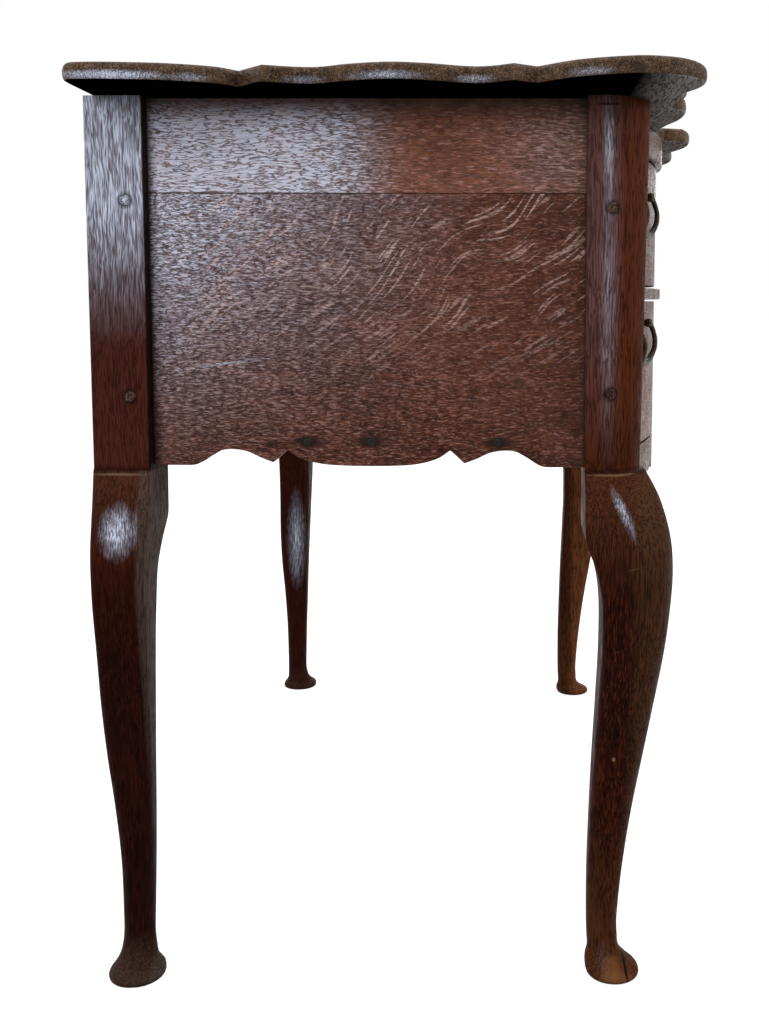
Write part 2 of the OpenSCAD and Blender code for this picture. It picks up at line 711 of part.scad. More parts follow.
// The height of a stud's collar, clear of the highest spot of the plate under it
function collar_seat(u) = plate_t + collar_gap
    + max([for (w = [-collar_r, 0, collar_r]) lift(u * stud_gap / 2 + w)]);
head_r = 4.4;
nut_gap = 0.05;
nut_w = 11;
nut_t = 3;
// The stud's outline from the threaded end inside the drawer to its head: [radius, distance out]
module stud(len, seat) {
    difference() {
        rotate_extrude($fn = round_n) polygon([
            [0, -len], [stud_r, -len], [stud_r, seat], [collar_r, seat], [collar_r, seat + 0.7],
            [3.2, seat + 1.3], [3, pivot_out - 3.4], [3.6, pivot_out - 2.8],
            [head_r, pivot_out - 1], [head_r, pivot_out + 1], [3.6, pivot_out + 2.6],
            [1.8, pivot_out + 3.3], [0, pivot_out + 3.5]]);
        translate([0, 0, pivot_out]) rotate([0, 90, 0])
            cylinder(r = pin_r + pin_gap, h = 20, center = true, $fn = round_n);
    }
}
module stud_bores(z) {
    for (u = [-1, 1]) stud_at(z, u) translate([0, 0, -stud_end(u)[1] - 10])
        cylinder(r = stud_r + stud_gap_r, h = stud_end(u)[1] + 20, $fn = round_n);
}
module studs(z) {
    color(brass) both_sides() for (u = [-1, 1])
        stud_at(z, u) stud(stud_end(u)[1] + nut_t + 2, collar_seat(u));
}
upper_handle_z = upper_front[1] - upper_pivot;
lower_handle_z = lower_front[1] - lower_pivot;
module upper_studs() { studs(upper_handle_z); }
module lower_studs() { studs(lower_handle_z); }

// A square nut on each stud, against the inner face of the drawer front
module nut_solids(z) {
    color(brass) both_sides() for (u = [-1, 1]) difference() {
        block(stud_end(u)[0] - nut_w / 2, stud_end(u)[0] + nut_w / 2, front_in - nut_t, front_in,
            z - nut_w / 2, z + nut_w / 2);
        stud_at(z, u) translate([0, 0, -stud_end(u)[1] - 10])
            cylinder(r = stud_r + nut_gap, h = 20, $fn = round_n);
    }
}
module upper_nuts() { nut_solids(upper_handle_z); }
module lower_nuts() { nut_solids(lower_handle_z); }

// The plates follow the curve of the drawer front. Half of the outline: [across, up]
plate_half = concat(
    spline([[0, 17], [6, 13.5], [13, 14.5], [19, 18]], 3),
    spline([[21, 18], [27, 13.5], [35, 13], [42, 9]], 3),
    spline([[46, 10], [49.5, 3], [46, -4], [41, -9]], 3),
    spline([[37, -8], [34, -16], [27, -21], [20, -21]], 3),
    spline([[17, -25], [11, -30], [4, -32], [0, -36]], 3));
plate_scale = stud_gap / 64;
plate_line = [for (q = plate_half) q * plate_scale];
plate_outline = concat(plate_line, [for (i = [len(plate_line) - 2:-1:1])
    [-plate_line[i][0], plate_line[i][1]]]);
module face_layer(z) {
    plan_prism(concat(front_curve(-drawer_set + plate_t, draw_x),
        [for (p = turned([front_curve(-drawer_set, draw_x)])[0]) p]), z - 45, z + 30);
}
module handle_plate(z) {
    color(brass) difference() {
        intersection() {
            face_layer(z);
            handle_at(z) rotate([90, 0, 0]) translate([0, 0, -12])
                linear_extrude(24) polygon(plate_outline);
        }
        stud_bores(z);
    }
}
module upper_left_plate() { handle_plate(upper_handle_z); }
module upper_right_plate() { right_side() handle_plate(upper_handle_z); }
module lower_left_plate() { handle_plate(lower_handle_z); }
module lower_right_plate() { right_side() handle_plate(lower_handle_z); }

// The bail: a rod that hangs from pins in the heads of the two studs. Half of its path, from
// the pin to the middle: [across, down as a share of the drop, out from the pivot, radius share]
bail_half = [
    [head_r + 0.6, 0, 0, 0.95], [head_r + 3, -0.03, 0.4, 1], [head_r + 4.6, -0.12, 1.8, 1],
    [head_r + 3.8, -0.26, 3.8, 0.95], [4.4, -0.4, 5.5, 0.95],
    [2.2, -0.54, 5.9, 1], [1.2, -0.68, 5.1, 1.05], [-3.5, -0.84, 3.1, 1.1],
    [-13, -0.95, 1.5, 1.2], [-23, -0.985, 0.5, 1.35], [-stud_gap / 2, -1, 0.1, 1.5]];
bail_curve = spline(bail_half, 2);
bail_path = concat(
    [for (q = bail_curve) [-stud_gap / 2 - q[0], q[1] * bail_drop, pivot_out + q[2], q[3]]],
    [for (i = [len(bail_curve) - 2:-1:0]) let (q = bail_curve[i])
        [stud_gap / 2 + q[0], q[1] * bail_drop, pivot_out + q[2], q[3]]]);
function xyz(q) = [q[0], -q[2], q[1]];
function ring(i) = let (n = len(bail_path), p = xyz(bail_path[i]),
    t = unit(xyz(bail_path[min(i + 1, n - 1)]) - xyz(bail_path[max(i - 1, 0)])),
    a = unit(cross([0, 1, 0], t)), b = cross(t, a), r = bail_d / 2 * bail_path[i][3])
    [for (k = [0:7]) p + r * (a * cos(45 * k) + b * sin(45 * k))];
pin_in = 3;
module bail(z) {
    color(brass) handle_at(z) union() {
        loft([for (i = [0:len(bail_path) - 1]) ring(i)]);
        for (s = [-1, 1]) translate([s * (stud_gap / 2 + head_r + 1.6), -pivot_out, 0])
            rotate([0, -90 * s, 0])
                cylinder(r = pin_r, h = head_r + 1.6 + pin_in, $fn = round_n);
    }
}
module upper_left_bail() { bail(upper_handle_z); }
module upper_right_bail() { right_side() bail(upper_handle_z); }
module lower_left_bail() { bail(lower_handle_z); }
module lower_right_bail() { right_side() bail(lower_handle_z); }

// Keyhole plates at the centre, and the locks behind them
key_drop = 26;
key_r = 3;
module keyhole(z, d0, d1) {
    translate([0, back_y - d0, z]) rotate([90, 0, 0]) cylinder(r = key_r, h = d1 - d0, $fn = round_n);
    block(-1.6, 1.6, d0, d1, z - 10, z);
}
escutcheon_half = concat(
    spline([[0, 24], [4, 19], [10, 18], [13, 13]], 3),
    spline([[16, 13], [19, 7], [15, 1], [17, -5]], 3),
    spline([[15, -9], [10, -15], [5, -17], [0, -23]], 3));
escutcheon_outline = concat(escutcheon_half, [for (i = [len(escutcheon_half) - 2:-1:1])
    [-escutcheon_half[i][0], escutcheon_half[i][1]]]);
module escutcheon(z) {
    color(brass) difference() {
        intersection() {
            face_layer(z);
            translate([0, 0, z]) front_prism(escutcheon_outline, case_d - 10, case_d + swell + 5);
        }
        keyhole(z, case_d - 10, case_d + swell + 5);
    }
}
module upper_escutcheon() { escutcheon(upper_front[1] - key_drop); }
module lower_escutcheon() { escutcheon(lower_front[1] - key_drop); }

bolt_w = 20;
bolt_t = 5;
bolt_h = 20;
bolt_gap = 0.4;
bolt_d = 3.5;
module lock_solid(z, hollow) {
    block(-lock_w / 2, lock_w / 2, front_in, front_in + lock_t, z - lock_h, z);
}
module lock(z) {
    color(iron) difference() {
        lock_solid(z, 0);
        block(-bolt_w / 2 - bolt_gap, bolt_w / 2 + bolt_gap, front_in + bolt_d - bolt_gap,
            front_in + bolt_d + bolt_t + bolt_gap, z - bolt_h - 1 - bolt_gap, z + 1);
        keyhole(z - key_drop, front_in + bolt_d, front_in + lock_t + 1);
    }
}
module bolt(z) {
    color(iron) block(-bolt_w / 2, bolt_w / 2, front_in + bolt_d, front_in + bolt_d + bolt_t,
        z - bolt_h - 0.7, z - 0.7);
}
module bolt_mortise(z) {
    block(-bolt_w / 2 - 1.5, bolt_w / 2 + 1.5, front_in + bolt_d - 1.5,
        front_in + bolt_d + bolt_t + 1.5, z - 1, z + bolt_throw + 1.5);
}
module upper_lock() { lock(upper_front[1]); }
module lower_lock() { lock(lower_front[1]); }
module upper_bolt() { bolt(upper_front[1]); }
module lower_bolt() { bolt(lower_front[1]); }

top();
top_pegs();
front_left_leg();
front_right_leg();
rear_left_leg();
rear_right_leg();
board_pegs();
left_upper_side_board();
left_lower_side_board();
right_upper_side_board();
right_lower_side_board();
back_upper_board();
back_lower_board();
back_nails();
back_top_rail();
back_bottom_rail();
top_rail();
middle_rail();
apron_rail();
upper_left_runner();
upper_right_runner();
lower_left_runner();
lower_right_runner();
upper_left_guide();
upper_right_guide();
lower_left_guide();
lower_right_guide();
left_kicker();
right_kicker();
runner_nails();
upper_stops();
lower_stops();
upper_drawer_front();
upper_drawer_left_side();
upper_drawer_right_side();
upper_drawer_back();
upper_drawer_bottom();
lower_drawer_front();
lower_drawer_left_side();
lower_drawer_right_side();
lower_drawer_back();
lower_drawer_bottom();
upper_left_plate();
upper_right_plate();
lower_left_plate();
lower_right_plate();
upper_left_bail();
upper_right_bail();
lower_left_bail();
lower_right_bail();
upper_studs();
lower_studs();
upper_nuts();
lower_nuts();
upper_escutcheon();
lower_escutcheon();
upper_lock();
lower_lock();
upper_bolt();
lower_bolt();
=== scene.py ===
import math

import bmesh
import bpy
from mathutils import Matrix, Vector
from mathutils.geometry import intersect_line_line_2d


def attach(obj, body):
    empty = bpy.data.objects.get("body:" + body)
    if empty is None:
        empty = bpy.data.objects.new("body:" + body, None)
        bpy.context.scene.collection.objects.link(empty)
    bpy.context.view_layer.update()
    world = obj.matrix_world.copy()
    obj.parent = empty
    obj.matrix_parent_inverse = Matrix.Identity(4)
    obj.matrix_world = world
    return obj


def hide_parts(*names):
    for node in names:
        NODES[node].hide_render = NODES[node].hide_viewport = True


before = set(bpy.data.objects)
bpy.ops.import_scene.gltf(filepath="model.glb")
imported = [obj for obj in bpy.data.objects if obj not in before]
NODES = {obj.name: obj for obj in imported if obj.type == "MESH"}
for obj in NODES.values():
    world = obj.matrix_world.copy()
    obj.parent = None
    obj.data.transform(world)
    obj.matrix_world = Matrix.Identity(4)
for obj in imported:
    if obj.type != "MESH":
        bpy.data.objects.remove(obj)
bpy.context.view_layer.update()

MM = 0.001

# Edges that turn by more than these stay sharp, in degrees: most pieces and all that are cut,
# the top, and the apron and bails
SHARP, TOP_SHARP, CURVED_SHARP = 40, 34, 50

# Sizes of the CAD model, in mm
OVERALL_H, TOP_T = 780.0, 15.0
HALF, CASE_D, KNEE_H = 380.0, 466.0, 456.0
SIDE_OVER, CORNER_OVER, FRONT_OVER, FRONT_LOBE, REAR_SET = 63.0, 84.0, 29.0, 50.0, 5.0
POST, CANT, POST_FLARE = 49.0, 21.0, 5.0
FRONT_KNEE, REAR_KNEE, FRONT_ANKLE, REAR_ANKLE, FOOT_RIM = 27.5, 19.0, 29.0, 26.0, 6.0
BOARD_SET, BOARD_T, BOARD_JOINT, SCALLOP_H, PEG_D = 12.0, 14.0, 687.0, 14.0, 9.0
SWELL, CENTRE_SWELL, CREST_X, DRAWER_SET = 48.0, 38.0, 75.0, 6.0
MID_RAIL_T, MID_RAIL_Z, MID_RAIL_DEEP = 11.5, 611.0, 85.0
APRON_H, RAIL_T, TOP_RAIL_H = 38.0, 34.0, 27.5
FRONT_GAP, FRONT_T, SIDE_GAP = 2.0, 22.0, 1.0
STUD_GAP, HANDLE_IN, UPPER_PIVOT, LOWER_PIVOT, PIVOT_OUT = 64.0, 137.0, 38.0, 21.0, 8.0
BAIL_DROP, BAIL_D, PIN_R, HEAD_R, KEY_DROP = 38.0, 5.0, 1.6, 4.4, 26.0
RUNNER_UP, RUNNER_T = 14.0, 14.0
BACK_SET, BACK_T, BACK_JOINT, REBATE_W = 3.0, 10.0, 612.0, 12.0
LOCK_W, LOCK_H, LOCK_T = 58.0, 42.0, 12.0
BOLT_W, BOLT_T, BOLT_D, BOLT_THROW, MORTISE_GAP = 20.0, 5.0, 3.5, 6.0, 1.5
KEY_R, KEY_SLOT_HALF, KEY_SLOT_H = 3, 1.6, 10
TOP_Z = OVERALL_H - TOP_T
FRONT_PEAK = FRONT_OVER + FRONT_LOBE
BACK_Y = (CASE_D + FRONT_PEAK) / 2
INNER_X = HALF - POST
HANDLE_X = HALF - HANDLE_IN
BOARD_X = HALF - BOARD_SET
APRON_Z = KNEE_H - APRON_H
APRON_TOP = KNEE_H - 0.5
TOP_RAIL_Z = TOP_Z - TOP_RAIL_H
MID_LOW = MID_RAIL_Z - MID_RAIL_T
UPPER_FRONT = (MID_RAIL_Z + FRONT_GAP, TOP_RAIL_Z - FRONT_GAP)
LOWER_FRONT = (APRON_TOP + FRONT_GAP, MID_LOW - FRONT_GAP)
FRONT_IN = CASE_D - DRAWER_SET - FRONT_T
DRAW_X = INNER_X - SIDE_GAP
NAIL_Z = KNEE_H + RUNNER_UP + RUNNER_T / 2

# The runner nails as shares of the case's depth, and each peg's depth and height in mm
NAIL_SPOTS = (0.388, 0.506, 0.737)
PEG_SPOTS = ((33.0, KNEE_H + 60), (33.0, BOARD_JOINT - 7),
             (CASE_D - 28, KNEE_H + 64), (CASE_D - 28, BOARD_JOINT - 13))

# Clearances that only this scene has, in mm: round a lock, and at the ends of a drawer front
LOCK_EASE, FACE_EASE = 0.1, 0.25


def y_of(depth):
    """The y of a depth measured from the back of the rear posts, in mm."""
    return BACK_Y - depth


# Materials
class Graph:
    """A short way to write a material's nodes."""

    def __init__(self, name):
        self.mat = bpy.data.materials.new(name)
        self.mat.use_nodes = True
        self.tree = self.mat.node_tree
        self.tree.nodes.clear()
        self.out = self.node("ShaderNodeOutputMaterial")
        self.place = self.node("ShaderNodeTexCoord").outputs["Object"]
        split = self.node("ShaderNodeSeparateXYZ")
        self.link(self.place, split.inputs[0])
        self.xyz = {a: split.outputs[a.upper()] for a in "xyz"}

    def node(self, kind, **props):
        n = self.tree.nodes.new(kind)
        for k, v in props.items():
            setattr(n, k, v)
        return n

    def link(self, a, b):
        self.tree.links.new(a, b)

    def put(self, socket, value):
        if isinstance(value, bpy.types.NodeSocket):
            self.link(value, socket)
        elif value is not None:
            socket.default_value = value

    def map(self, vector, scale=(1, 1, 1), rotation=(0, 0, 0), location=(0, 0, 0)):
        mp = self.node("ShaderNodeMapping")
        mp.inputs["Scale"].default_value = scale
        mp.inputs["Rotation"].default_value = rotation
        mp.inputs["Location"].default_value = location
        self.link(vector, mp.inputs["Vector"])
        return mp.outputs["Vector"]

    def vector(self, op, a, b, c=None):
        n = self.node("ShaderNodeVectorMath", operation=op)
        for i, v in enumerate((a, b, c)):
            self.put(n.inputs[i], v)
        return n.outputs["Value" if op == "LENGTH" else "Vector"]

    def noise(self, vector, scale=1.0, detail=4.0, rough=0.5, out="Fac"):
        n = self.node("ShaderNodeTexNoise")
        n.inputs["Scale"].default_value = scale
        n.inputs["Detail"].default_value = detail
        n.inputs["Roughness"].default_value = rough
        self.link(vector, n.inputs["Vector"])
        return n.outputs[out]

    def ramp(self, fac, stops):
        r = self.node("ShaderNodeValToRGB")
        e = r.color_ramp.elements
        while len(e) < len(stops):
            e.new(0.5)
        for i, (pos, col) in enumerate(stops):
            e[i].position = pos
            e[i].color = (*col, 1.0)
        self.link(fac, r.inputs["Fac"])
        return r.outputs["Color"]

    def band(self, fac, lo, hi, a=0.0, b=1.0):
        m = self.node("ShaderNodeMapRange", clamp=True)
        self.put(m.inputs["Value"], fac)
        m.inputs["From Min"].default_value = lo
        m.inputs["From Max"].default_value = hi
        m.inputs["To Min"].default_value = a
        m.inputs["To Max"].default_value = b
        return m.outputs["Result"]

    def mix(self, fac, a, b, blend="MIX"):
        m = self.node("ShaderNodeMix", data_type="RGBA", blend_type=blend, clamp_factor=True)
        self.put(m.inputs["Factor"], fac)
        self.put(m.inputs[6], (*a[:3], 1.0) if isinstance(a, tuple) else a)
        self.put(m.inputs[7], (*b[:3], 1.0) if isinstance(b, tuple) else b)
        return m.outputs[2]

    def math(self, op, a, b=None, c=None):
        m = self.node("ShaderNodeMath", operation=op)
        for i, v in enumerate((a, b, c)):
            self.put(m.inputs[i], v)
        return m.outputs[0]

    def times(self, *values):
        total = values[0]
        for v in values[1:]:
            total = self.math("MULTIPLY", total, v)
        return total

    def within(self, **bands):
        """A mask that rises from 0 to 1 between the first two places (mm) given for each axis, and
        falls again between the next two, if they are given."""
        masks = []
        for a, (lo, hi, *fall) in bands.items():
            masks.append(self.band(self.xyz[a], lo * MM, hi * MM))
            if fall:
                masks.append(self.band(self.xyz[a], fall[0] * MM, fall[1] * MM, 1.0, 0.0))
        return self.times(*masks)

    def spot(self, centre, radii, turn=0.0, ragged=0.35, fade=(1.15, 0.6)):
        """A soft patch round a place, in mm; turn leans it in the plane of the sides."""
        jitter = self.noise(self.place, 160.0, 3.0, 0.6, out="Color")
        shift = self.vector("SUBTRACT", self.place, tuple(c * MM for c in centre))
        shift = self.map(shift, rotation=(turn, 0, 0))
        shift = self.vector("MULTIPLY", shift, tuple(1 / (r * MM) for r in radii))
        shift = self.vector("ADD", shift, self.vector(
            "MULTIPLY_ADD", jitter, (2 * ragged,) * 3, (-ragged,) * 3))
        return self.band(self.vector("LENGTH", shift, None), *fade)

    def bump(self, height, strength, distance, normal=None):
        b = self.node("ShaderNodeBump")
        b.inputs["Strength"].default_value = strength
        b.inputs["Distance"].default_value = distance
        self.put(b.inputs["Height"], height)
        self.put(b.inputs["Normal"], normal)
        return b.outputs["Normal"]

    def finish(self, colour, rough, normal=None, **fixed):
        p = self.node("ShaderNodeBsdfPrincipled")
        self.put(p.inputs["Base Color"], colour)
        self.put(p.inputs["Roughness"], rough)
        self.put(p.inputs["Normal"], normal)
        for k, v in fixed.items():
            p.inputs[k.replace("_", " ")].default_value = v
        self.link(p.outputs["BSDF"], self.out.inputs["Surface"])
        return self.mat


def srgb(r, g, b):
    def lin(c):
        c /= 255.0
        return c / 12.92 if c <= 0.04045 else ((c + 0.055) / 1.055) ** 2.4

    return (lin(r), lin(g), lin(b))


def stretch(along, run, across):
    """A scale with the value run along the grain's axis and across on the other two."""
    return tuple(run if a == along else across for a in "XYZ")


# The colour of the painted sheen and painted highlights: a bluish reflection
PAINTED_SHEEN = (0.62, 0.67, 0.82)
# Dark for dirt and painted shade in corners
GRIME_AND_SHADE = srgb(12, 6, 5)
# Dark for painted shade and for dark joint lines
SHADE_AND_JOINT = srgb(5, 3, 3)


def ray_flecks(g, v, amount, region):
    """Thin curved streaks that cross the grain, rising toward the front, some of them broader."""
    bend = g.noise(g.map(v, location=(4, 8, 1)), 9.0, 1.0, 0.4, out="Color")
    fv = g.vector("MULTIPLY_ADD", bend, (0.07,) * 3, v)
    thin = g.map(g.map(fv, rotation=(0.72, 0, 0)), scale=(30, 26, 400), location=(1.7, 0.4, 2.2))
    broad = g.map(g.map(fv, rotation=(0.5, 0, 0)), scale=(30, 24, 200), location=(0.3, 2.4, 0.2))
    lines = g.band(g.noise(thin, 1.0, 0.5, 0.3), 0.62, 0.67)
    flares = g.band(g.noise(broad, 1.0, 0.5, 0.3), 0.71, 0.76, 0.0, 0.7)
    clumps = g.band(g.noise(g.map(v, location=(5, 2, 8)), 13.0, 1.0), 0.33, 0.48, 0.45, 1.0)
    return g.times(g.math("MAXIMUM", lines, flares), clumps, g.within(**region), amount)


def grain_lines(g, v, grain, along, across, seed):
    """Thin dark wavy lines along the grain: 1 on a line, 0 between the lines."""
    n = g.noise(g.map(v, stretch(grain, along, across), location=(seed, 1, 2)), 1.0, 2.0, 0.55)
    off = g.math("ABSOLUTE", g.math("SUBTRACT", n, 0.5))
    return g.band(off, 0.065, 0.025)


def oak(name, grain, tones, seed=0.0, streak=(6, 150), dash=(70, 520), line=(36, 270), lines=0.7,
        spread=0.09, glint_paint=0.0, sheen_paint=None, highlight_paint=(), flecks=None, tints=(), shade_and_joints=(), spots=(),
        gloss=0.42, specular=0.08, wear=0.3, grime_and_shade=0.6):
    """Oak: drifting tone with streaks and short dashes along the grain, then tinted zones (some of
    them painted light), painted glints, a painted bluish sheen and painted highlights, ray flecks,
    dark grain lines, painted shade and dark joint lines, stains and marks (some of them painted
    highlight lines), rubbed edges, and dirt and painted shade in corners."""
    dark, mid, light = (srgb(*t) for t in tones)
    g = Graph(name)
    geometry = g.node("ShaderNodeNewGeometry")
    base = g.map(g.place, location=(seed, seed * 0.7, seed * 1.3))
    drift = g.noise(base, 6.0, 3.0, 0.55, out="Color")
    v = g.vector("MULTIPLY_ADD", drift, (0.016,) * 3, base)
    tone = g.noise(base, 7.0, 4.0, 0.55)
    streaks = g.noise(g.map(v, stretch(grain, *streak)), 1.0, 5.0, 0.62)
    dashes = g.noise(g.map(v, stretch(grain, *dash), location=(2, 7, 4)), 1.0, 1.0, 0.6)
    fine = grain_lines(g, v, grain, *line, 3 + seed)
    blend = g.math("MULTIPLY_ADD", tone, 0.25, g.math("MULTIPLY_ADD", streaks, 0.3,
                   g.math("MULTIPLY", dashes, 0.45)))
    body = g.ramp(blend, [(0.5 - spread, dark), (0.5, mid), (0.5 + spread, light)])
    for colour, amount, bands in tints:
        body = g.mix(g.times(g.within(**bands), amount), body, g.mix(0.35, srgb(*colour), body, "OVERLAY"))
    # Painted glints: pale bluish sparkles along the grain
    if glint_paint:
        shine = tuple((a + b) / 2 for a, b in zip(light, PAINTED_SHEEN))
        body = g.mix(g.band(dashes, 0.56, 0.68, 0.0, glint_paint), body, shine)
    glints = g.band(dashes, 0.42, 0.62, 0.4, 1.3)
    # A painted bluish sheen on faces that turn to the sides, by depth and height, broken up by the glints
    if sheen_paint is not None:
        amount, y_lo, y_hi, z_lo, z_hi = sheen_paint
        depth = g.math("POWER", g.within(y=(y_lo, y_hi)), 2.0)
        height = g.math("POWER", g.within(z=(z_lo, z_hi)), 2.0)
        facing = g.node("ShaderNodeSeparateXYZ")
        g.link(geometry.outputs["Normal"], facing.inputs[0])
        sides = g.band(g.math("ABSOLUTE", facing.outputs["X"]), 0.5, 0.8, 0.15, 1.0)
        body = g.mix(g.times(depth, height, sides, glints, amount), body, PAINTED_SHEEN)
    # Painted highlights: soft patches of the sheen colour, broken up by the glints
    for centre, radii, turn, amount in highlight_paint:
        mask = g.math("POWER", g.spot(centre, radii, turn, 0.2, (1.35, 0.0)), 1.6)
        body = g.mix(g.times(mask, glints, amount), body, PAINTED_SHEEN)
    height = g.math("MULTIPLY_ADD", fine, -0.8, dashes)
    if flecks is not None:
        amount, colour, region = flecks
        mask = ray_flecks(g, v, amount, region)
        body = g.mix(mask, body, g.mix(0.5, srgb(*colour), body, "SCREEN"))
        height = g.math("MULTIPLY_ADD", mask, 0.4, height)
    body = g.mix(g.math("MULTIPLY", fine, lines), body, g.mix(1.0, body, (0.1, 0.08, 0.08), "MULTIPLY"))
    # Painted shade in some zones, and dark joint lines
    for amount, bands in shade_and_joints:
        body = g.mix(g.times(g.within(**bands), amount), body, SHADE_AND_JOINT)
    for centre, radii, turn, colour, amount in spots:
        body = g.mix(g.math("MULTIPLY", g.spot(centre, radii, turn), amount), body, srgb(*colour))
    rub = g.times(g.band(geometry.outputs["Pointiness"], 0.51, 0.58), g.noise(base, 70.0, 3.0), wear)
    body = g.mix(rub, body, tuple(min(1, c * 1.6 + 0.03) for c in light))
    scuff = g.noise(g.map(base, location=(9, 4, 1)), 42.0, 5.0, 0.65)
    rough = g.math("MULTIPLY_ADD", fine, 0.2, g.band(scuff, 0.3, 0.75, gloss - 0.1, gloss + 0.16))
    # Dirt and painted shade in corners and crevices, found by ambient occlusion
    corner = g.node("ShaderNodeAmbientOcclusion", samples=6)
    corner.inputs["Distance"].default_value = 0.014
    body = g.mix(g.times(g.band(corner.outputs["AO"], 0.75, 0.3), grime_and_shade), body, GRIME_AND_SHADE)
    normal = g.bump(height, 0.35, 0.0004)
    normal = g.bump(g.noise(base, 24.0, 2.0), 0.22, 0.0012, normal)
    return g.finish(body, rough, normal, Specular_IOR_Level=specular, IOR=1.5)


def aged_metal(name, tones, rough, metal, seed=0.0):
    """Old brass or iron: tarnish in patches, rubbed brighter on the edges, with fine pits."""
    dark, mid, bright = (srgb(*t) for t in tones)
    g = Graph(name)
    base = g.map(g.place, location=(seed,) * 3)
    patch = g.noise(base, 95.0, 5.0, 0.6)
    fine = g.noise(base, 800.0, 3.0, 0.6)
    body = g.ramp(g.math("MULTIPLY_ADD", fine, 0.25, g.math("MULTIPLY", patch, 0.8)),
                  [(0.38, dark), (0.55, mid), (0.78, bright)])
    edge = g.band(g.node("ShaderNodeNewGeometry").outputs["Pointiness"], 0.51, 0.6)
    body = g.mix(g.math("MULTIPLY", edge, 0.6), body, bright)
    corner = g.node("ShaderNodeAmbientOcclusion", samples=6)
    corner.inputs["Distance"].default_value = 0.006
    body = g.mix(g.band(corner.outputs["AO"], 0.7, 0.25, 0.0, 0.8), body, dark)
    r = g.band(patch, 0.3, 0.7, rough - 0.08, rough + 0.2)
    normal = g.bump(fine, 0.3, 0.0003, g.bump(patch, 0.2, 0.0006))
    return g.finish(body, r, normal, Metallic=metal, Specular_IOR_Level=0.25)


# Dark, middle and light tones in sRGB, from 0 to 255
UPPER = ((44, 20, 13), (112, 64, 46), (172, 124, 106))
LOWER = ((32, 13, 8), (84, 42, 28), (126, 78, 58))
LEG = ((20, 5, 3), (34, 9, 5), (50, 18, 10))
FRONT_LEG = ((26, 8, 5), (47, 16, 9), (72, 32, 18))
TOP_TONES = ((30, 19, 12), (72, 52, 37), (112, 90, 70))
# The top's underside, painted near black as shade
UNDER_SHADE = ((2, 1, 1), (5, 4, 3), (10, 8, 7))
FACE = ((40, 20, 12), (78, 44, 28), (112, 76, 52))
BARE = ((104, 74, 48), (142, 106, 72), (174, 138, 100))

# The x of the case's left side, in mm
LEFT = -HALF


def nail_stains():
    """The black stains that iron nails leave in the lower side boards."""
    out = []
    for share in NAIL_SPOTS:
        for side in (-1, 1):
            x = side * BOARD_X
            out.append(((x, y_of(CASE_D * share + 2), NAIL_Z), (6, 19, 6), 0.0, (44, 24, 20), 0.6))
            out.append(((x, y_of(CASE_D * share), NAIL_Z), (8, 12, 5), 0.0, (6, 4, 4), 1.0))
    return out


def peg_rings():
    """The dark joint round each peg."""
    return [((side * HALF, y_of(d), z), (7, 7, 7), 0.0, (14, 8, 8), 0.9)
            for d, z in PEG_SPOTS for side in (-1, 1)]


def board_shade():
    """Painted shade where a side board meets the posts."""
    d0, d1 = POST, CASE_D - POST
    return [(0.9, {"y": (y_of(d0 + 3), y_of(d0))}), (0.8, {"y": (y_of(d1 - 2), y_of(d1))})]


def edge_highlights():
    """Painted bluish highlights low on the left edge of the top: [depths from and to, amount]."""
    out = []
    for d0, d1, amount in ((6, 84, 1.9), (94, 116, 0.7), (180, 204, 0.9), (232, 284, 0.9),
                           (314, 338, 1.1), (402, 428, 0.6)):
        out.append(((LEFT - 66, y_of((d0 + d1) / 2), 769), (40, (d1 - d0) / 2 + 4, 3.8), 0.0, amount))
    return out


M = {}
M["upper_board"] = oak(
    "oak_upper_board", "Y", UPPER, 0.3, streak=(12, 170), dash=(120, 640), line=(80, 480), lines=0.9,
    # Painted glints, and a painted bluish sheen on the rear upper part of the board
    glint_paint=0.2, sheen_paint=(2.0, 0, 80, 500, 640),
    # A faint painted highlight
    highlight_paint=[((LEFT + 12, y_of(390), 722), (10, 60, 60), 0.0, 0.16)],
    tints=[((128, 68, 34), 0.75, {"y": (60, 10, -80, -130)})],
    # Painted shade beside the posts, and a painted shadow under the top's overhang
    shade_and_joints=[*board_shade(), (0.9, {"z": (744, 762)})],
    spots=[((LEFT + 12, y_of(58), 737), (6, 2.2, 2.2), 0.0, (26, 18, 20), 0.8),
           ((LEFT + 12, y_of(204), 737), (6, 2.2, 2.2), 0.0, (26, 18, 20), 0.8)])
M["lower_board"] = oak(
    "oak_lower_board", "Y", LOWER, 1.9, streak=(12, 150), dash=(160, 740), line=(110, 500), lines=0.9,
    # Painted glints, and a painted bluish sheen strongest at the rear top
    spread=0.12, glint_paint=0.16, sheen_paint=(1.4, -90, 224, 420, 690),
    # Painted shade beside the posts, and the dark joint with the upper board
    shade_and_joints=[*board_shade(), (0.8, {"z": (BOARD_JOINT - 1.4, BOARD_JOINT - 0.4)})],
    flecks=(0.7, (204, 172, 166), {"z": (520, 620), "y": (235, 190)}),
    # A painted highlight streak, and the nails' stains
    highlight_paint=[((LEFT + 12, y_of(107), 543), (8, 40, 1.6), 0.13, 0.9)], spots=nail_stains())
